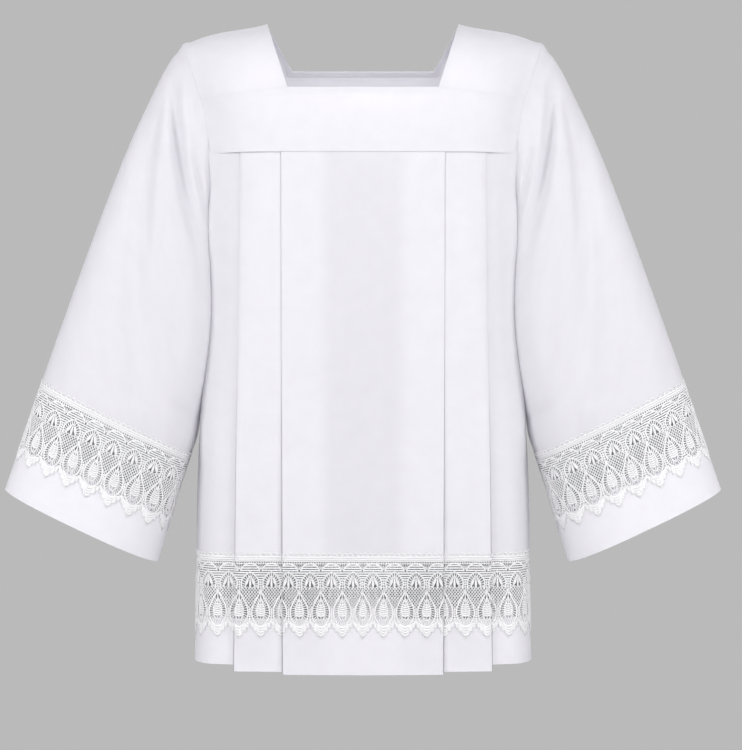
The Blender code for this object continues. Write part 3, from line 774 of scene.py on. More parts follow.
def facing_chart():
    """The facing's edge and inner rows round the right half, from the front to the back."""
    edge, inner, toward = [], [], []

    def add(at_edge, at_inner, way):
        edge.append(stack(at_edge))
        inner.append(stack(at_inner))
        toward.append(way)

    past_corner = mix(NECK_SHARE, 1, FACING_ACROSS)
    for share in np.linspace(0, NECK_SHARE, 20):
        inner_share = share if share < NECK_SHARE else past_corner
        add(on_band(share, FRONT_NECK_Z, FRONT),
            on_band(inner_share, FRONT_NECK_Z - FACING_WIDTH, FRONT), (0, 1, 0))
    for row in np.linspace(0, 2, 42)[1:-1]:
        face, turn = on_shoulder_row(0.0, row)
        inner_turn = on_shoulder_row(FACING_ACROSS, row)[1]
        add(on_shoulder(0.0, turn, face), on_shoulder(FACING_ACROSS, inner_turn, face),
            (0, -face * math.cos(turn), -math.sin(turn)))
    turn = float(shoulder_turn(BACK_NECK_Z, 0.0, BACK))
    for share in np.linspace(NECK_SHARE, 0, 20):
        inner_share = share if share < NECK_SHARE else past_corner
        add(on_band(share, BACK_NECK_Z, BACK),
            on_band(inner_share, BACK_NECK_Z - FACING_WIDTH, BACK),
            (0, -math.cos(turn), -math.sin(turn)))
    edge, inner = np.array(edge), np.array(inner)
    inset = FACING_INSET * np.array(toward)
    half = np.array([mix(edge, inner, share) + inset for share in np.linspace(0, 1, 5)])
    return np.concatenate((half, half[:, -2:0:-1] * MIRROR, half[:, :1]), axis=1)


facing_cloth = make_cloth(facing_chart())
# painted light: single cloth, but it takes the whiter white of a lit strip
facing = make_shell("neck_facing_cloth", facing_cloth, SINGLE, 1.0, closed=True)
show(facing, poly_cotton, "cloth", "neck_facing")
print("neck facing", round(lengths_along(facing_cloth.chart[0])[-1]), "mm round the neck edge")

# %% [markdown]
# ## The pleated body
#
# The body is one wide cloth laid in pleats under the bands. Going out from the middle it turns
# under, runs back towards the middle, turns again and goes on out, and it does so twice. Where two
# rows of the table differ only in their layer there is a pressed edge, made as a small half turn.

# %% Pleats
SKIRT_HEM_Z = -705.0
LACE_HEM_Z = -779.5
Fold = namedtuple("Fold", "band hem layer hem_z")
PLEATS = (
    Fold(0.0, 0.0, 0, -852.7),
    Fold(106.6, 104.0, 0, -852.0),
    Fold(106.6, 104.0, 1, -851.0),
    Fold(51.0, 50.0, 1, -850.0),
    Fold(51.0, 50.0, 2, -849.5),
    Fold(162.0, 169.0, 2, -848.2),
    Fold(162.0, 169.0, 3, -847.0),
    Fold(110.0, 117.0, 3, -845.0),
    Fold(110.0, 117.0, 4, -844.0),
)
OUTER_PLEAT = PLEATS[5]
SIDE_HEM_Z = -840.0
SIDE_HEM_RISE = 1 / 3  # share of the side over which its hem rises to that
LAYER_AT_BAND = 0.85  # from the middle of one layer to the middle of the next
LAYER_AT_HEM = 2.2
SPREAD_FROM, SPREAD_OVER = 0.35, 0.5  # the shares of the length over which the layers part
SIDE_RISE = 45.0  # the side comes out to the surface over this width
COLUMN_WIDTH = 6.0
TURN_STEPS = 6
Column = namedtuple("Column", "last fold step side_share")


def side_shares(band_hem_z):
    """The side's columns: evenly under the band, then at even steps down the armhole's edge."""
    start = PLEATS[-1].band
    angle = math.acos((band_hem_z - ARMHOLE_MIDDLE_Z) / ARMHOLE_HALF_HEIGHT)
    heights = ARMHOLE_MIDDLE_Z + ARMHOLE_HALF_HEIGHT * np.cos(np.linspace(angle, math.pi, 24))
    lengths = along_at_depth(heights, armhole_depth(heights)) - start
    shares = lengths / (quarter_length(heights) - start)
    return np.linspace(0, shares[0], 14)[:-1], shares, heights


def skirt_columns(band_hem_z):
    """One half's columns, from the middle to the side seam."""
    columns = []
    for last, fold in zip(PLEATS, PLEATS[1:]):
        turning = last.layer != fold.layer
        steps = TURN_STEPS if turning else round(abs(fold.band - last.band) / COLUMN_WIDTH)
        columns += [Column(last, fold, i / steps, None) for i in range(steps)]
    under_band, at_armhole, _ = side_shares(band_hem_z)
    tuck = PLEATS[-1]
    return columns + [Column(tuck, tuck, 0.0, share) for share in (*under_band, *at_armhole)]


# %% [markdown]
# The cloth also hangs in long shallow creases. They are listed below, placed unevenly, and every layer follows them
# together so that the pleats stay closed.

# %% Creases of the body
Crease = namedtuple("Crease", "face top_along top_z end_along end_z depth width")
BODY_CREASES = (
    Crease(FRONT, 24, -215, 31, -720, 1.1, 13),
    Crease(FRONT, 74, -175, 82, -560, -0.8, 16),
    Crease(FRONT, 128, -230, 139, -850, 1.0, 12),
    Crease(FRONT, 196, -180, 214, -610, 2.4, 13),
    Crease(FRONT, 238, -470, 254, -852, 3.2, 17),
    Crease(FRONT, 221, -150, 225, -580, -9.0, 22),
    Crease(FRONT, 168, -150, 175, -870, 1.6, 5),
    Crease(FRONT, 176, -420, 192, -900, 2.0, 11),
    Crease(BACK, 16, -160, 22, -640, 1.3, 14),
    Crease(BACK, 80, -240, 73, -852, 1.0, 15),
    Crease(BACK, 138, -155, 147, -700, 1.4, 13),
    Crease(BACK, 201, -190, 220, -760, 2.6, 14),
    Crease(BACK, 240, -280, 259, -880, 3.0, 18),
)


SIDE_FULLNESS = 1.5  # below the armhole the body's side swells out this far to meet the sleeve
SIDE_FULL_TOP_Z, SIDE_FULL_END_Z = -240.0, -500.0
SIDE_FULL_WIDTH = 50.0


def crease_depth(along, z, face):
    share = np.clip((SIDE_FULL_TOP_Z - z) / (SIDE_FULL_TOP_Z - SIDE_FULL_END_Z), 0, 1)
    swelling = SIDE_FULLNESS * np.sin(math.pi * share) ** 0.8
    pressed = -swelling * bump(along - quarter_length(z), SIDE_FULL_WIDTH)
    for crease in BODY_CREASES:
        if crease.face != face:
            continue
        down = np.clip((crease.top_z - z) / (crease.top_z - crease.end_z), 0, 1)
        centre = mix(crease.top_along, crease.end_along, down)
        fade = np.sin(math.pi * down) ** 0.7
        pressed = pressed + crease.depth * fade * bump(along - centre, crease.width)
    return pressed


def skirt_place(column, z, face):
    """(distance round the body, distance in from its line) of a column at heights z."""
    down = (FRONT_BAND_HEM_Z - z) / (FRONT_BAND_HEM_Z - PLEATS[0].hem_z)
    layer_gap = mix(LAYER_AT_BAND, LAYER_AT_HEM, ease((down - SPREAD_FROM) / SPREAD_OVER))
    last, fold = column.last, column.fold
    along = mix(mix(last.band, last.hem, down), mix(fold.band, fold.hem, down), column.step)
    turn = math.pi * column.step if last.layer != fold.layer else 0.0
    outer_edge = 1 if last.layer % 2 == 0 else -1
    along = along + outer_edge * layer_gap / 2 * (math.sin(turn) - 1)
    inward = (last.layer + (1 - math.cos(turn)) / 2) * layer_gap
    if column.side_share is not None:
        along = mix(along, quarter_length(z), column.side_share)
        outer_pleat = mix(OUTER_PLEAT.band, OUTER_PLEAT.hem, down)
        inward = inward * (1 - ease((along - outer_pleat) / SIDE_RISE))
    return along, inward + crease_depth(along, z, face)


def column_hem(column):
    if column.side_share is None:
        return mix(column.last.hem_z, column.fold.hem_z, column.step)
    return mix(PLEATS[-1].hem_z, SIDE_HEM_Z, float(ease(column.side_share / SIDE_HEM_RISE)))


TUCK_HEIGHT = 10.0


def skirt_chart(face, band_hem_z, high_of, low_of, steps, tuck=0.0):
    """The pleated cloth between two heights. tuck is how far its top is pressed in under the band."""
    columns = []
    for column in skirt_columns(band_hem_z):
        high, low = high_of(column), low_of(column)
        z = mix(high, low, steps)
        along, inward = skirt_place(column, z, face)
        tucked = tuck * (1 - ease(2 * (column.side_share or 0.0)))
        under = tucked * (1 - ease((high - z) / TUCK_HEIGHT)) if high >= band_hem_z else 0.0
        columns.append(stack(on_section(z, along, inward + under, face)))
    return mirrored(np.stack(columns, axis=1))


# %% Front and back of the body
UNDER_BAND = 3.0  # the cloth reaches this far up behind the band
TUCK = 1.0
LAYERS_FROM, LAYERS_OVER = 38.0, 26.0  # other layers start to lie behind the middle panel here


def skirt_top(column, band_hem_z):
    under_band, shares, heights = side_shares(band_hem_z)
    if column.side_share is None or column.side_share <= shares[0]:
        return band_hem_z + UNDER_BAND
    return float(np.interp(column.side_share, shares, heights))


def layers_and_painted_light_at(band_hem_z, row_count):
    """1 where other layers lie behind the layer that shows; the side takes a set 0.4, a painted shade between the two
    whites.
    """
    shares = []
    for column in skirt_columns(band_hem_z):
        along = mix(column.last.band, column.fold.band, column.step)
        over = ease((along - LAYERS_FROM) / LAYERS_OVER) if column.last.layer == 0 else 1.0
        shares.append(float(over) if column.side_share is None else 0.4)
    whole = shares[:0:-1] + shares
    return np.broadcast_to(np.array(whole), (row_count, len(whole)))


SKIRT_STEPS = np.concatenate((np.linspace(0, 0.06, 9)[:-1], np.linspace(0.06, 1, 56)))
pleated = {}
for face, name, band_hem_z in ((FRONT, "front", FRONT_BAND_HEM_Z), (BACK, "back", BACK_BAND_HEM_Z)):
    chart = skirt_chart(face, band_hem_z, lambda column: skirt_top(column, band_hem_z),
                        lambda column: SKIRT_HEM_Z, SKIRT_STEPS, TUCK)
    cloth = make_cloth(chart, seams=BODY_WELT)
    shell = make_shell(name + "_skirt_cloth", cloth, SINGLE, layers_and_painted_light_at(band_hem_z, len(SKIRT_STEPS)))
    pleated[face] = (show(shell, poly_cotton, "cloth", name + "_skirt"), cloth)

    hem_steps = np.linspace(0, 1, 12)
    chart = skirt_chart(face, band_hem_z, lambda column: LACE_HEM_Z, column_hem, hem_steps)
    cloth = make_cloth(chart)
    shell = make_shell(name + "_hem_band_cloth", cloth, SINGLE, 1.0)
    show(shell, poly_cotton, "cloth", name + "_hem_band")
    declare(shell, cloth, "folded", rests_on=[name + "_skirt_cloth"])

# %% [markdown]
# ## The sleeves
#
# A surplice sleeve is a wide cone that hangs from the armhole, a little forward of it. Its rings are
# oval at the armhole and boxier towards the cuff. Its folds fall from the shoulder point, and the
# cloth dimples at the underarm, where it is crowded.

# %% Sleeve rings
Ring = namedtuple("Ring", "run outer_x outer_z inner_x inner_z forward half_depth drawn_in boxy")
SLEEVE = (
    Ring(0, 240, -18, 206.5, -262, 0, 76, 16, 2.0),
    Ring(14, 252, -30, 208, -271, 2, 78, 13, 2.0),
    Ring(33, 264.5, -52, 207.5, -285, 5, 79, 9, 2.05),
    Ring(69, 286, -97, 206, -310, 11, 78, 3, 2.1),
    Ring(114, 310, -152, 205, -343, 19, 75, 0, 2.2),
    Ring(177, 339.5, -230, 205, -392, 29, 71, 0, 2.3),
    Ring(244, 368, -310, 207.5, -441, 37, 68, 0, 2.4),
    Ring(312, 395, -388, 213.5, -497, 44, 67, 0, 2.5),
    Ring(368, 415.5, -447, 220.5, -549, 48, 68, 0, 2.5),
    Ring(389, 422.5, -468, 226.5, -566, 49, 68, 0, 2.5),
    Ring(542, 471.5, -613, 270.5, -709, 53, 70, 0, 2.5),
)
SLEEVE_CLOTH_RUN = 400.0
SLEEVE_LACE_RUN = 481.0
CUFF_RUN = 542.0
SLEEVE_HEAD_RUN = 33.0
SLEEVE_CLEAR = 1.6
LEAN = 17.5  # the hanging sleeve bulges this far towards the body, in front and behind,
LEAN_ANGLE = math.pi - 0.75  # here, so that it leans on the body's side,
LEAN_WIDTH = 0.55  # over this much of a turn
LEAN_FROM, LEAN_OVER = 4.0, 330.0  # and over this part of its length
HEAD_TUCK = 1.7  # the sleeve's raw edge lies this far inside the armhole


def boxed(value, boxy):
    return np.sign(value) * np.abs(value) ** (2 / boxy)


def on_ring(run, angle):
    """A point of the sleeve: angle 0 is its outer edge, a quarter turn its front."""
    ring = {name: smooth(SLEEVE, run, name, "run") for name in Ring._fields[1:]}
    out = (1 + boxed(np.cos(angle), ring["boxy"])) / 2
    x = mix(ring["inner_x"], ring["outer_x"], out) - ring["drawn_in"] * np.sin(angle) ** 2
    z = mix(ring["inner_z"], ring["outer_z"], out)
    return x, -ring["forward"] - ring["half_depth"] * boxed(np.sin(angle), ring["boxy"]), z


# %% [markdown]
# The creases below are troughs (a positive depth) and ridges (a negative one), each with its own
# start, end, bow and width. Front and back have their own sets, and no two are alike.

# %% Creases of the sleeve
Trough = namedtuple("Trough", "face top_x top_z end_x end_z bow depth width")
SLEEVE_TROUGHS = (
    Trough(FRONT, 272, -70, 290, -505, 15, 10, 17),
    Trough(FRONT, 251, -62, 221, -310, 3, 9, 9),
    Trough(FRONT, 258, -48, 224, -330, 0, 5.5, 4.5),
    Trough(FRONT, 239, -70, 210, -290, 3, -2.5, 7),
    Trough(BACK, 268, -80, 300, -520, 12, 8, 22),
    Trough(BACK, 246, -95, 232, -360, 4, 5, 16),
    Trough(FRONT, 262, -85, 281, -300, 7, 4.5, 6),
    Trough(FRONT, 246, -60, 236, -200, 2, 3.2, 6),
    Trough(FRONT, 212, -150, 213, -540, -7, -12, 10),
    Trough(FRONT, 221, -165, 212, -272, 0, 6.5, 5),
    Trough(FRONT, 233, -215, 243, -480, -3, -2.2, 11),
    Trough(FRONT, 318, -230, 352, -560, 4, 1.6, 15),
    Trough(FRONT, 300, -330, 322, -680, -5, -1.5, 17),
    Trough(FRONT, 262, -420, 290, -700, 4, 1.5, 13),
    Trough(BACK, 258, -70, 276, -320, 8, 2.4, 8),
    Trough(BACK, 214, -200, 218, -300, 0, 3.0, 7),
    Trough(BACK, 322, -250, 360, -590, 5, 2.0, 14),
    Trough(BACK, 256, -400, 284, -690, -4, 1.8, 15),
)


def trough_depth(x, z, face):
    """How far the sleeve is pressed in at that place by the troughs of that face."""
    pressed = np.zeros(np.broadcast(x, z).shape)
    for trough in SLEEVE_TROUGHS:
        down = np.clip((trough.top_z - z) / (trough.top_z - trough.end_z), 0, 1)
        centre = mix(trough.top_x, trough.end_x, down) + trough.bow * np.sin(math.pi * down)
        shape = bump(x - centre, trough.width)
        of_face = np.where(face == trough.face, trough.depth, 0.0)
        pressed = pressed + of_face * shape * np.sin(math.pi * down) ** 0.6
    return pressed


def on_sleeve(run, angle):
    blend = ease(run / SLEEVE_HEAD_RUN)
    x, y, z = (mix(a, b, blend) for a, b in zip(armhole_ring(angle), on_ring(run, angle)))
    facing = np.sin(angle)
    face = np.where(facing > 0, FRONT, BACK)
    y = y - face * trough_depth(x, z, face) * np.abs(facing) ** 0.5
    along_body = np.sin(math.pi * np.clip((run - LEAN_FROM) / LEAN_OVER, 0, 1)) ** 0.5
    x = x - LEAN * along_body * bump(np.abs(angle) - LEAN_ANGLE, LEAN_WIDTH)
    return x + SLEEVE_CLEAR * ease(run / 6) - HEAD_TUCK * (1 - ease(run / 5)), y, z


CLEAR_OF_BODY = 0.75  # from the middle of one cloth's thickness to the middle of the other's
CLEARING_BY = 20.0  # the sleeve is fully clear of the body this far below the underarm
NEAR_BODY_X = 240.0  # only points nearer the middle than this can touch the body
SIDE_START = 150.0  # the body's side begins this far round from the middle
ROUND_THE_SLEEVE = 200


def clear_of_body(ring):
    """Moves a ring's inner points out to where the body's side leaves room for them."""
    inner = (ring[:, 2] < ARMHOLE_BOTTOM_Z) & (ring[:, 0] < NEAR_BODY_X)
    for face in (FRONT, BACK):
        near = np.flatnonzero(inner & ((ring[:, 1] < 0) == (face == FRONT)))
        z = ring[near, 2][:, None]
        along = mix(SIDE_START, quarter_length(z), np.linspace(0, 1, 60))
        side_x, side_y, _ = on_section(z, along, crease_depth(along, z, face), face)
        for i, out, back in zip(near, side_x, -face * side_y):
            reach = np.interp(-face * ring[i, 1], back, out) + CLEAR_OF_BODY
            cleared = ease((ARMHOLE_BOTTOM_Z - ring[i, 2]) / CLEARING_BY)
            ring[i, 0] += max(reach - ring[i, 0], 0.0) * cleared
    return ring


def sleeve_chart(runs, side, columns=ROUND_THE_SLEEVE):
    """Rings at those runs, evenly spaced round, from the underarm seam and back to it."""
    angles = np.linspace(-math.pi, math.pi, 721)
    rows = []
    for run in runs:
        ring = stack(on_sleeve(np.full(angles.shape, float(run)), angles))
        length = lengths_along(ring)
        even = np.linspace(0, length[-1], columns + 1)
        ring = np.stack([np.interp(even, length, ring[:, axis]) for axis in range(3)], axis=-1)
        rows.append(clear_of_body(ring))
    chart = np.array(rows) * np.array((side, 1.0, 1.0))
    chart[:, -1] = chart[:, 0]
    return chart


# %% Sleeves and cuffs
SLEEVE_RUNS = np.concatenate((np.linspace(0, 30, 16)[:-1], np.linspace(30, SLEEVE_CLOTH_RUN, 66)))
SLEEVE_GROOVE = ((ARMHOLES, 2.0, 0.0, 6.0), (ARMHOLES, -0.8, 14.0, 5.0))
sleeves = {}
for side, name in ((LEFT, "left"), (RIGHT, "right")):
    middle = (side * 250.0, -20.0, -250.0)
    cloth = make_cloth(sleeve_chart(SLEEVE_RUNS, side), middle, SLEEVE_GROOVE)
    # painted shade: the sleeve is single cloth and mostly takes the greyer white, with a little of the whiter one
    shell = make_shell("sleeve_cloth_" + name, cloth, SINGLE, 0.15, closed=True)
    sleeves[side] = (show(shell, poly_cotton, "cloth", "sleeve_" + name), cloth)

    middle = (side * 360.0, -50.0, -620.0)
    cloth = make_cloth(sleeve_chart(np.linspace(SLEEVE_LACE_RUN, CUFF_RUN, 14), side), middle)
    shell = make_shell("cuff_band_cloth_" + name, cloth, SINGLE, 1.0, closed=True)
    show(shell, poly_cotton, "cloth", "cuff_band_" + name)
    declare(shell, cloth, "hung", rests_on=["sleeve_cloth_" + name])

# %% [markdown]
# ## The lace, flat
#
# The lace repeats every 27.5 mm. From its upper edge down it has small picots, a ribbed tape, a row
# of round arcs, arched heads with three satin petals, and long drops between them that end in a
# stepped, pointed border. Each thread is drawn as a line with a width at each of its points, in
# millimetres across (u) and down (v) from where the cloth ends.

# %% Ways to draw a thread
PITCH = 27.5
Thread = namedtuple("Thread", "points widths")
motif = []


def thread(points, width, end_width=None):
    """Adds a thread through the points, as wide all along or changing to another width."""
    widths = np.linspace(width, width if end_width is None else end_width, len(points))
    motif.append(Thread([(float(u), float(v)) for u, v in points], widths))


def arc(centre_u, base_v, half_width, height, steps, start=-90, end=90):
    """Points on a round arch that stands on base_v."""
    turns = np.radians(np.linspace(start, end, steps + 1))
    return [(centre_u + half_width * math.sin(t), base_v - height * math.cos(t)) for t in turns]


def straight(start, end, steps=1):
    return [tuple(mix(a, b, i / steps) for a, b in zip(start, end)) for i in range(steps + 1)]


# %% Picots, tape and arcs
PICOTS = 4
for i in range(PICOTS):
    width = PITCH / PICOTS
    thread(arc(-PITCH / 2 + (i + 0.5) * width, -6.4, width / 2 - 0.5, 4.4, 5), 1.4)
for v, width in ((-5.5, 2.3), (-2.8, 2.5), (-0.4, 1.6)):
    thread(straight((-PITCH / 2, v), (PITCH / 2, v), 8), width)
HOLES = 9
for i in range(HOLES):
    u = -PITCH / 2 + (i + 0.5) * PITCH / HOLES
    thread(straight((u, 0.0), (u, 2.9)), 1.3)
thread(straight((-PITCH / 2, 2.9), (PITCH / 2, 2.9), 8), 1.3)
ARC_BASE, ARC_HEIGHT, ARC_HALF_WIDTH = 13.0, 10.2, 12.1
BAR = 1.9  # width of the bars; the real ones stand 2.7 mm apart, these 3 mm, so that gaps show
thread(arc(PITCH / 2, ARC_BASE, ARC_HALF_WIDTH, ARC_HEIGHT, 12), 2.0)
for v in (5.8, 8.8, 11.8):
    reach = ARC_HALF_WIDTH * math.sqrt(1 - ((ARC_BASE - v) / ARC_HEIGHT) ** 2)
    thread(straight((PITCH / 2 - reach, v), (PITCH / 2 + reach, v), 8), BAR)
for u, v in ((0.0, 3.0), (-3.4, 3.2), (3.4, 3.2)):
    thread(straight((0.0, 10.6), (u, v)), 0.8)
print(len(motif), "threads in the upper edge")

# %% [markdown]
# Each head is a pointed arch: two lines with a ladder of slots between them, and three satin petals
# that fan out from its top. The drops below have the same ladder round a filled middle.

# %% Heads
HEAD_TOP, HEAD_WIDEST, HEAD_END, HEAD_HALF_WIDTH = 13.6, 28.5, 35.0, 11.4
RUNG = 1.3  # width of a ladder's rungs, which stand about 3.7 mm apart


def head_half_width(v):
    share = float(np.clip((v - HEAD_TOP) / (HEAD_WIDEST - HEAD_TOP), 0, 1))
    narrower = 0.1 * max(v - HEAD_WIDEST, 0.0) ** 1.5
    return HEAD_HALF_WIDTH * math.sin(math.pi / 2 * share) ** 0.8 - narrower


def evenly(side, steps):
    """Points at even distances along a side."""
    side = np.array(side)
    length = lengths_along(side)
    even = np.linspace(0, length[-1], steps + 1)
    return list(zip(np.interp(even, length, side[:, 0]), np.interp(even, length, side[:, 1])))


def both_ways(side):
    """A side's points and its mirror image's, as one line over the point they share."""
    return list(side) + [(-u, v) for u, v in list(side)[-2::-1]]


side = evenly([(head_half_width(v), v) for v in np.linspace(HEAD_END, HEAD_TOP, 30)], 7)
outer = both_ways(side)
inner = [(u * 0.53, HEAD_END - (HEAD_END - v) * 0.72) for u, v in outer]
thread([(PITCH / 2 + u, v) for u, v in outer], 1.7)
thread([(PITCH / 2 + u, v) for u, v in inner], 1.3)
for a, b in list(zip(outer, inner))[1:-1]:
    thread([(PITCH / 2 + a[0], a[1]), (PITCH / 2 + b[0], b[1])], RUNG)
Petal = namedtuple("Petal", "lean top end width")
for petal in (Petal(-5.6, 22.0, 31.6, 2.7), Petal(5.6, 22.0, 31.6, 2.7), Petal(0.0, 20.2, 35.4, 3.0)):
    start, end = (PITCH / 2 + petal.lean * 0.25, petal.top), (PITCH / 2 + petal.lean, petal.end)
    shares = (0.25, 0.45, 0.7, 0.95, 1.0, 0.85, 0.3)
    motif.append(Thread(straight(start, end, 6), [petal.width * share for share in shares]))
for v in (14.8, 17.8, 20.8, 23.8):
    reach = PITCH / 2 - head_half_width(v)
    thread(straight((-reach, v), (reach, v), 4), BAR)
for u in (-2.9, 0.0, 2.9):
    thread(straight((u, 24.0), (u, 36.0)), 1.25)
for v in (27.0, 30.2, 33.4):
    reach = PITCH / 2 - head_half_width(v)
    thread(straight((-reach, v), (reach, v), 2), 1.3)

# %% Drops
Step = namedtuple("Step", "u v")
DROP = (Step(0.0, 36.5), Step(1.3, 41.0), Step(3.5, 46.0), Step(6.5, 51.0), Step(9.3, 56.5),
        Step(11.0, 62.0), Step(11.5, 67.0), Step(10.9, 72.0), Step(9.0, 77.0), Step(6.0, 81.2),
        Step(2.8, 84.2), Step(0.0, 85.6))
DROP_TOP, DROP_END = DROP[0].v, DROP[-1].v
LADDER_TOP, LADDER_SCALE, LADDER_WIDTH = 46.0, 0.64, 0.46  # the ladder's inner line, as a smaller drop


def drop_half_width(v):
    inside = DROP_TOP < v < DROP_END
    return float(smooth(DROP, v, "u", key="v")) if inside else 0.0


def in_ladder(u, v):
    return u * LADDER_WIDTH, LADDER_TOP + (v - DROP_TOP) * LADDER_SCALE


outline = [(drop_half_width(v), v) for v in np.linspace(DROP_TOP, DROP_END, 60)]
thread(both_ways(evenly(outline, 17)), 1.8)
thread(both_ways([in_ladder(u, v) for u, v in evenly(outline, 12)]), 1.4)
for u, v in evenly(outline, 15)[3:-1]:
    for way in (-1, 1):
        inner_u, inner_v = in_ladder(u, v)
        thread([(way * u, v), (way * inner_u, inner_v)], RUNG)
for v in np.arange(54.0, 80, 4.4):
    reach = drop_half_width(v) * LADDER_WIDTH
    low = LADDER_TOP + (v - DROP_TOP) * LADDER_SCALE
    thread([(-reach, low - 1.6), (0.0, low), (reach, low - 1.6)], 2.4)
thread(straight((0, 38.0), (0, 76.0), 5), 1.3)

# %% Net and bars between the drops
NET_SLOPE, NET_SPACING, NET_STEP = 0.8, 3.8, 1.2  # the real net's meshes are 2.4 mm wide
NET_TOP, NET_END = 33.0, 63.0
for lean in (-1, 1):
    for start in np.arange(-33.6, 34, NET_SPACING):
        line = []
        for v in np.arange(NET_TOP, NET_END, NET_STEP):
            u = start + lean * NET_SLOPE * (v - NET_TOP)
            room = PITCH / 2 - drop_half_width(v)
            if abs(u) < room and (v > HEAD_END or abs(u) < HEAD_HALF_WIDTH - 1.5):
                line.append((PITCH / 2 + u, v))
        if len(line) > 1:
            thread([line[0], *line[4:-1:5], line[-1]], 0.95)
thread(straight((PITCH / 2, 61.0), (PITCH / 2, 79.0), 3), 1.5)
for v in np.arange(62.5, 79, 3.0):
    reach = PITCH / 2 - drop_half_width(v)
    thread(straight((PITCH / 2 - reach, v), (PITCH / 2 + reach, v), 2), RUNG)

# %% Border
UNDER_DROP = (Step(13.75, 78.0), Step(12.6, 78.0), Step(11.6, 78.4), Step(9.6, 79.6), Step(8.2, 80.8),
              Step(5.0, 82.4), Step(3.4, 83.2), Step(2.0, 83.6), Step(0.0, 84.0))
BORDER = (Step(13.75, 79.6), Step(12.6, 80.6), Step(11.9, 84.6), Step(9.4, 85.6), Step(8.6, 89.8),
          Step(4.8, 90.6), Step(3.7, 94.2), Step(2.2, 96.6), Step(0.0, 98.4))
ROWS_OF_BORDER = 4
for row in range(ROWS_OF_BORDER):
    share = (row + 0.5) / ROWS_OF_BORDER
    side = [(mix(a.u, b.u, share), mix(a.v, b.v, share)) for a, b in zip(UNDER_DROP, BORDER)]
    wide = [max(math.dist(a, b) / ROWS_OF_BORDER * 1.05, 0.7) for a, b in zip(UNDER_DROP, BORDER)]
    motif.append(Thread(both_ways(side), wide + wide[-2::-1]))
thread(both_ways(BORDER), 1.3)
for u, v in (BORDER[2], BORDER[4], BORDER[6]):
    for way in (-1, 1):
        thread(arc(way * (u - 0.6), v, 1.5, -1.8, 4, -100, 100), 1.1)
thread(arc(0.0, BORDER[-1].v - 0.5, 1.6, -1.9, 4, -100, 100), 1.2)
print(len(motif), "threads in one repeat")

# %% [markdown]
# ## Threads to mesh
#
# A curve with a bevel is the quickest round thread: each of its points has its own radius. With no
# extra bevel steps a thread has four sides, which is enough for one that is a millimetre wide.

# %% One repeat as a mesh
def threads_to_mesh(name, threads):
    """A mesh of tubes along the threads, in the threads' own units."""
    curve = bpy.data.curves.new(name, "CURVE")
    curve.dimensions = "3D"
    curve.twist_mode = "Z_UP"
    curve.bevel_depth = math.sqrt(0.5)  # so that a square as wide as a point's radius below
    curve.bevel_resolution = 0
    curve.use_fill_caps = True
    for one in threads:
        spline = curve.splines.new("POLY")
        spline.points.add(len(one.points) - 1)
        for point, place, width in zip(spline.points, one.points, one.widths):
            point.co = (*place, *(0.0,) * (3 - len(place)), 1.0)
            point.radius = width
            point.tilt = math.pi / 4  # lies flat
    holder = place_in_scene(name, curve)
    seen = holder.evaluated_get(bpy.context.evaluated_depsgraph_get())
    data = bpy.data.meshes.new_from_object(seen)
    bpy.data.objects.remove(holder)
    bpy.data.curves.remove(curve)
    return data


def repeat(data, count, pitch):
    """The mesh repeated along its first axis."""
    holder = place_in_scene("repeat", data)
    row = holder.modifiers.new("Row", "ARRAY")
    row.count = count
    row.use_relative_offset = False
    row.use_constant_offset = True
    row.constant_offset_displace = (pitch, 0.0, 0.0)
    seen = holder.evaluated_get(bpy.context.evaluated_depsgraph_get())
    whole = bpy.data.meshes.new_from_object(seen)
    bpy.data.objects.remove(holder)
    return whole


one_repeat = threads_to_mesh("lace_repeat", motif)
print("one repeat has", sum(len(p.vertices) - 2 for p in one_repeat.polygons), "triangles")

# %% [markdown]
# ## Laying the lace on its place
#
# The flat lace is laid on a chart: each thread's point takes its place between the chart's rows and
# columns, and stands out from it by its own height, pressed flatter than it is wide.

# %% Lay threads on a chart
STEEPNESS = 1.3  # how fast a thread rises to its full height
THICKEST = 0.6  # half the height of the threads
LACE_LIFT = 0.55  # the lace lies on the outside of the cloth
LACE_TOP_V, LACE_END_V = -14.0, 102.0  # its chart reaches a little past both edges
LACE_ROWS = 40


def lay(data, chart, normals, column_of):
    """Moves the flat lace's points onto a chart, given in which of its columns each u falls, and notes how low on its
    thread each point lies, for the painted shade of the threads' lower sides.
    """
    flat = np.empty(len(data.vertices) * 3)
    data.vertices.foreach_get("co", flat)
    u, v, height = flat.reshape(-1, 3).T
    column = np.clip(column_of(u), 0, chart.shape[1] - 1.0001)
    down = (v - LACE_TOP_V) / (LACE_END_V - LACE_TOP_V)
    row = np.clip(down * (LACE_ROWS - 1), 0, LACE_ROWS - 1.0001)
    away = between_points(normals, row, column)
    away /= np.linalg.norm(away, axis=1, keepdims=True)
    stands = THICKEST * np.tanh(height * STEEPNESS / THICKEST) + LACE_LIFT
    places = between_points(chart, row, column) + away * stands[:, None]
    data.vertices.foreach_set("co", (places * MM).astype(np.float32).ravel())
    # painted shade: 0 on a thread's top, 1 on its lower side, where the lace's colour is painted darker
    deep = np.clip(0.5 - height / THICKEST, 0, 1).astype(np.float32)
    data.attributes.new("deep", "FLOAT", "POINT").data.foreach_set("value", deep)
    data.update()


def outward_faces(data):
    mesh = bmesh.new()
    mesh.from_mesh(data)
    bmesh.ops.recalc_face_normals(mesh, faces=mesh.faces)
    mesh.to_mesh(data)
    mesh.free()
    data.shade_smooth()


# %% Lace round the body
HALF_PITCHES = 19  # from the middle of the front to the side seam
OVER_SEAM = 34.0  # the front lace's last repeat goes on past the side seam,
PAST_SEAM = 6  # in this many columns, from the seam itself


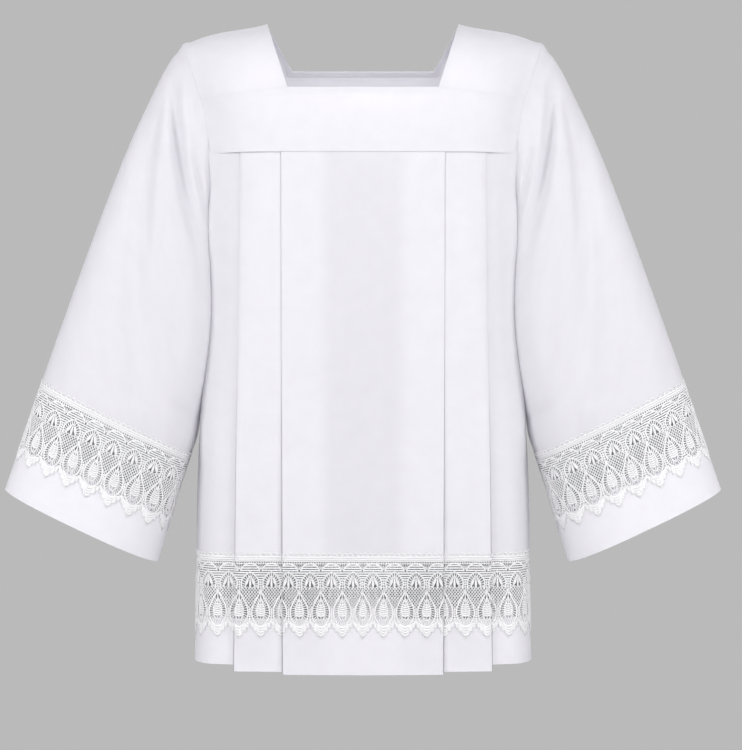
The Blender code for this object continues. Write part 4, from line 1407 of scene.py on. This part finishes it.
def lace_chart(face):
    """The pleated lace's place, and how far along the flat lace each column lies."""
    z = SKIRT_HEM_Z - np.linspace(LACE_TOP_V, LACE_END_V, LACE_ROWS)
    columns = []
    for column in skirt_columns(FRONT_BAND_HEM_Z):
        columns.append(stack(on_section(z, *skirt_place(column, z, face), face)))
    last_along = quarter_length(z)
    for past in np.linspace(0, OVER_SEAM, PAST_SEAM)[1:]:
        columns.append(stack(on_section(z, last_along + past, 0.0, face)))
    half = np.stack(columns, axis=1)
    length = lengths_along(half[LACE_ROWS // 2])
    to_seam = length[-PAST_SEAM]
    return mirrored(half), np.concatenate((-length[:0:-1], length)), to_seam


for face, name, first, count in ((FRONT, "front", -HALF_PITCHES, 2 * HALF_PITCHES + 1),
                                 (BACK, "back", 1 - HALF_PITCHES, 2 * HALF_PITCHES - 1)):
    chart, lengths, to_seam = lace_chart(face)
    scale = to_seam / (HALF_PITCHES * PITCH)
    turned = -1 if face == BACK else 1  # the back takes up the repeat where the front ends
    normals = normals_of(chart, (0.0, 0.0, -740.0))
    data = repeat(one_repeat, count, PITCH)
    data.name = name + "_lace_threads"
    columns = np.arange(len(lengths))
    lay(data, chart, normals,
        lambda u: np.interp(turned * (u + first * PITCH) * scale, lengths, columns))
    outward_faces(data)
    lace = show(place_in_scene(data.name, data), lace_cotton, "lace", name + "_lace")
    declare(*pleated[face], "folded", rests_on=[name + "_band_cloth"], with_pieces=[lace])
    print(f"{lace.name}: {count} repeats of {PITCH * scale:.1f} mm, {len(data.polygons)} faces")

# %% Lace round the sleeves
SLEEVE_REPEATS = 20
SLEEVE_LACE_COLUMNS = 12 * SLEEVE_REPEATS
for side, name in ((LEFT, "left"), (RIGHT, "right")):
    runs = SLEEVE_CLOTH_RUN + np.linspace(LACE_TOP_V, LACE_END_V, LACE_ROWS)
    chart = sleeve_chart(runs, side, SLEEVE_LACE_COLUMNS)
    normals = normals_of(chart, (side * 330.0, -50.0, -550.0))
    normals[:, -1] = normals[:, 0] = normals[:, 0] + normals[:, -1]
    data = repeat(one_repeat, SLEEVE_REPEATS, PITCH)
    data.name = "sleeve_lace_threads_" + name
    whole = SLEEVE_REPEATS * PITCH
    lay(data, chart, normals, lambda u: (u % whole) / whole * SLEEVE_LACE_COLUMNS)
    outward_faces(data)
    lace = show(place_in_scene(data.name, data), lace_cotton, "lace", "sleeve_lace_" + name)
    declare(*sleeves[side], "hung", rests_on=["front_band_cloth", "shoulder_cloth_" + name],
            with_pieces=[lace])
    around = lengths_along(chart[LACE_ROWS // 2])[-1]
    print(f"{lace.name}: repeats of {around / SLEEVE_REPEATS:.1f} mm, {len(data.polygons)} faces")

# %% [markdown]
# ## Topstitching
#
# Lockstitch shows as a row of short dashes that dip into the cloth at both ends. One row holds each
# band's lower edge, and one runs below the neck. Each stitch is a thread with four points.

# %% Stitches
STITCH, STITCH_PITCH, STITCH_WIDTH = 2.2, 2.9, 0.42
Dip = namedtuple("Dip", "share height thick")
STITCH_SHAPE = (Dip(0.0, 0.25, 0.8), Dip(0.18, 0.62, 1.0), Dip(0.82, 0.62, 1.0), Dip(1.0, 0.25, 0.8))


def stitch_row(cloth, column_share, row_share):
    """Stitches along a line on a cloth, given as shares of its columns and rows."""
    rows, columns = cloth.chart.shape[:2]
    row, column = row_share * (rows - 1.001), column_share * (columns - 1.001)
    line, away = (between_points(values, row, column) for values in (cloth.chart, cloth.normals))
    length = lengths_along(line)

    def at(distance, height):
        place = [np.interp(distance, length, line[:, axis] + height * away[:, axis]) for axis in range(3)]
        return tuple(float(value) for value in place)

    stitches = []
    for start in np.arange(1.0, length[-1] - STITCH, STITCH_PITCH):
        points = [at(start + share * STITCH, height) for share, height, _ in STITCH_SHAPE]
        stitches.append(Thread(points, [STITCH_WIDTH * thick for _, _, thick in STITCH_SHAPE]))
    return stitches


ABOVE_HEM, BELOW_SEAM = 2.6, 12.0  # how far the rows are from the band's lower and upper edges
ACROSS = np.linspace(0.015, 0.985, 400)  # shares of the band's width, just short of the armholes
for face, name in ((FRONT, "front"), (BACK, "back")):
    band, cloth = bands[face]
    heights = -cloth.flat[-1, :, 1]
    height = np.interp(ACROSS, np.linspace(0, 1, len(heights)), heights)
    stitches = stitch_row(cloth, ACROSS, 1 - ABOVE_HEM / height)
    stitches += stitch_row(cloth, ACROSS, BELOW_SEAM / height)
    data = threads_to_mesh(name + "_band_stitches", stitches)
    data.transform(Matrix.Scale(MM, 4))
    outward_faces(data)
    row = show(place_in_scene(data.name, data), sewing_thread, "cloth")
    declare(band, cloth, "hung", with_pieces=[row, facing] if face == FRONT else [row])
    print(len(stitches), "stitches on the", name, "band")

# %% [markdown]
# ## Studio
#
# A plain pale floor lies well below the garment and fades out into a pale surround. One large soft
# light stands in front, two weaker ones at the sides, and one behind for the inside and the rims.

# %% Floor
FLOOR_Z = -1.42  # in metres, like everything in the studio
FLOOR_RADIUS, FADE_FROM = 2.2, 0.9
FLOOR_GREY, SURROUND_GREY = "#A6A6A6", "#BABABA"
pale_grey, floor_shader = new_material("pale_floor_paint", {
    "Base Color": linear(FLOOR_GREY), "Roughness": 0.9})
place = add_node(pale_grey, "TexCoord", {}, "Object")
level = add_node(pale_grey, "VectorMath", {0: place, 1: (1.0, 1.0, 0.0)}, "Vector",
                 operation="MULTIPLY")
distance = add_node(pale_grey, "VectorMath", {0: level}, "Value", operation="LENGTH")
fade = add_node(pale_grey, "MapRange", {
    "Value": distance, "From Min": FADE_FROM, "From Max": FLOOR_RADIUS, "To Min": 0.0, "To Max": 1.0},
    "Result", interpolation_type="SMOOTHSTEP")
clear = add_node(pale_grey, "BsdfTransparent", {}, "BSDF")
floor_out = add_node(pale_grey, "MixShader", {
    0: fade, 1: floor_shader.outputs["BSDF"], 2: clear}, "Shader")
feed(pale_grey, pale_grey.node_tree.nodes["Material Output"], {"Surface": floor_out})
disc = bmesh.new()
bmesh.ops.create_circle(disc, cap_ends=True, segments=96, radius=FLOOR_RADIUS)
bmesh.ops.translate(disc, verts=disc.verts, vec=(0.0, 0.0, FLOOR_Z))
floor_data = bpy.data.meshes.new("floor")
disc.to_mesh(floor_data)
disc.free()
floor_data.materials.append(pale_grey)
floor = place_in_scene("floor", floor_data)
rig.stage(floor)

# %% Surround and lights
world = bpy.data.worlds.new("pale_surround")
world.use_nodes = True
feed(world, world.node_tree.nodes["Background"], {"Color": linear(SURROUND_GREY)})
bpy.context.scene.world = world
bpy.context.scene.view_settings.view_transform = "Standard"

Light = namedtuple("Light", "name place aim width height watts")
LIGHTS = (
    Light("front_softbox", (0.0, -3.6, 0.6), (0, 0, -0.5), 2.6, 1.8, 70),
    Light("left_softbox", (-2.0, -1.5, 0.2), (-0.2, 0, -0.4), 0.9, 1.8, 23),
    Light("right_softbox", (2.0, -1.5, 0.2), (0.2, 0, -0.4), 0.9, 1.8, 23),
    Light("back_softbox", (0.0, 3.4, 1.1), (0, 0, -0.45), 3.2, 2.2, 98),
)
for row in LIGHTS:
    lamp = bpy.data.lights.new(row.name, "AREA")
    lamp.shape = "RECTANGLE"
    lamp.size, lamp.size_y, lamp.energy = row.width, row.height, row.watts
    holder = place_in_scene(row.name, lamp)
    holder.location = row.place
    holder.rotation_euler = (Vector(row.aim) - Vector(row.place)).to_track_quat("-Z", "Y").to_euler()
    holder.visible_camera = False

# %% Camera
camera_data = bpy.data.cameras.new("camera")
camera_data.lens = 99.7
camera_data.sensor_width = 36.0
camera_data.shift_x = 0.010667  # the garment hangs a little left of the middle of the view,
camera_data.shift_y = -0.033333  # and a little high in it
camera = place_in_scene("camera", camera_data)
camera.location = (0.0, -2.81, -0.430)
camera.rotation_euler = (math.pi / 2, 0.0, 0.0)
bpy.context.scene.camera = camera

# %% Sizes
visual_box = [list(corner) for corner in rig.bounds()]
print("looks from", visual_box[0], "to", visual_box[1])
with open("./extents.json", "w") as size_file:
    json.dump({"cad": cad_box, "visual": visual_box}, size_file)
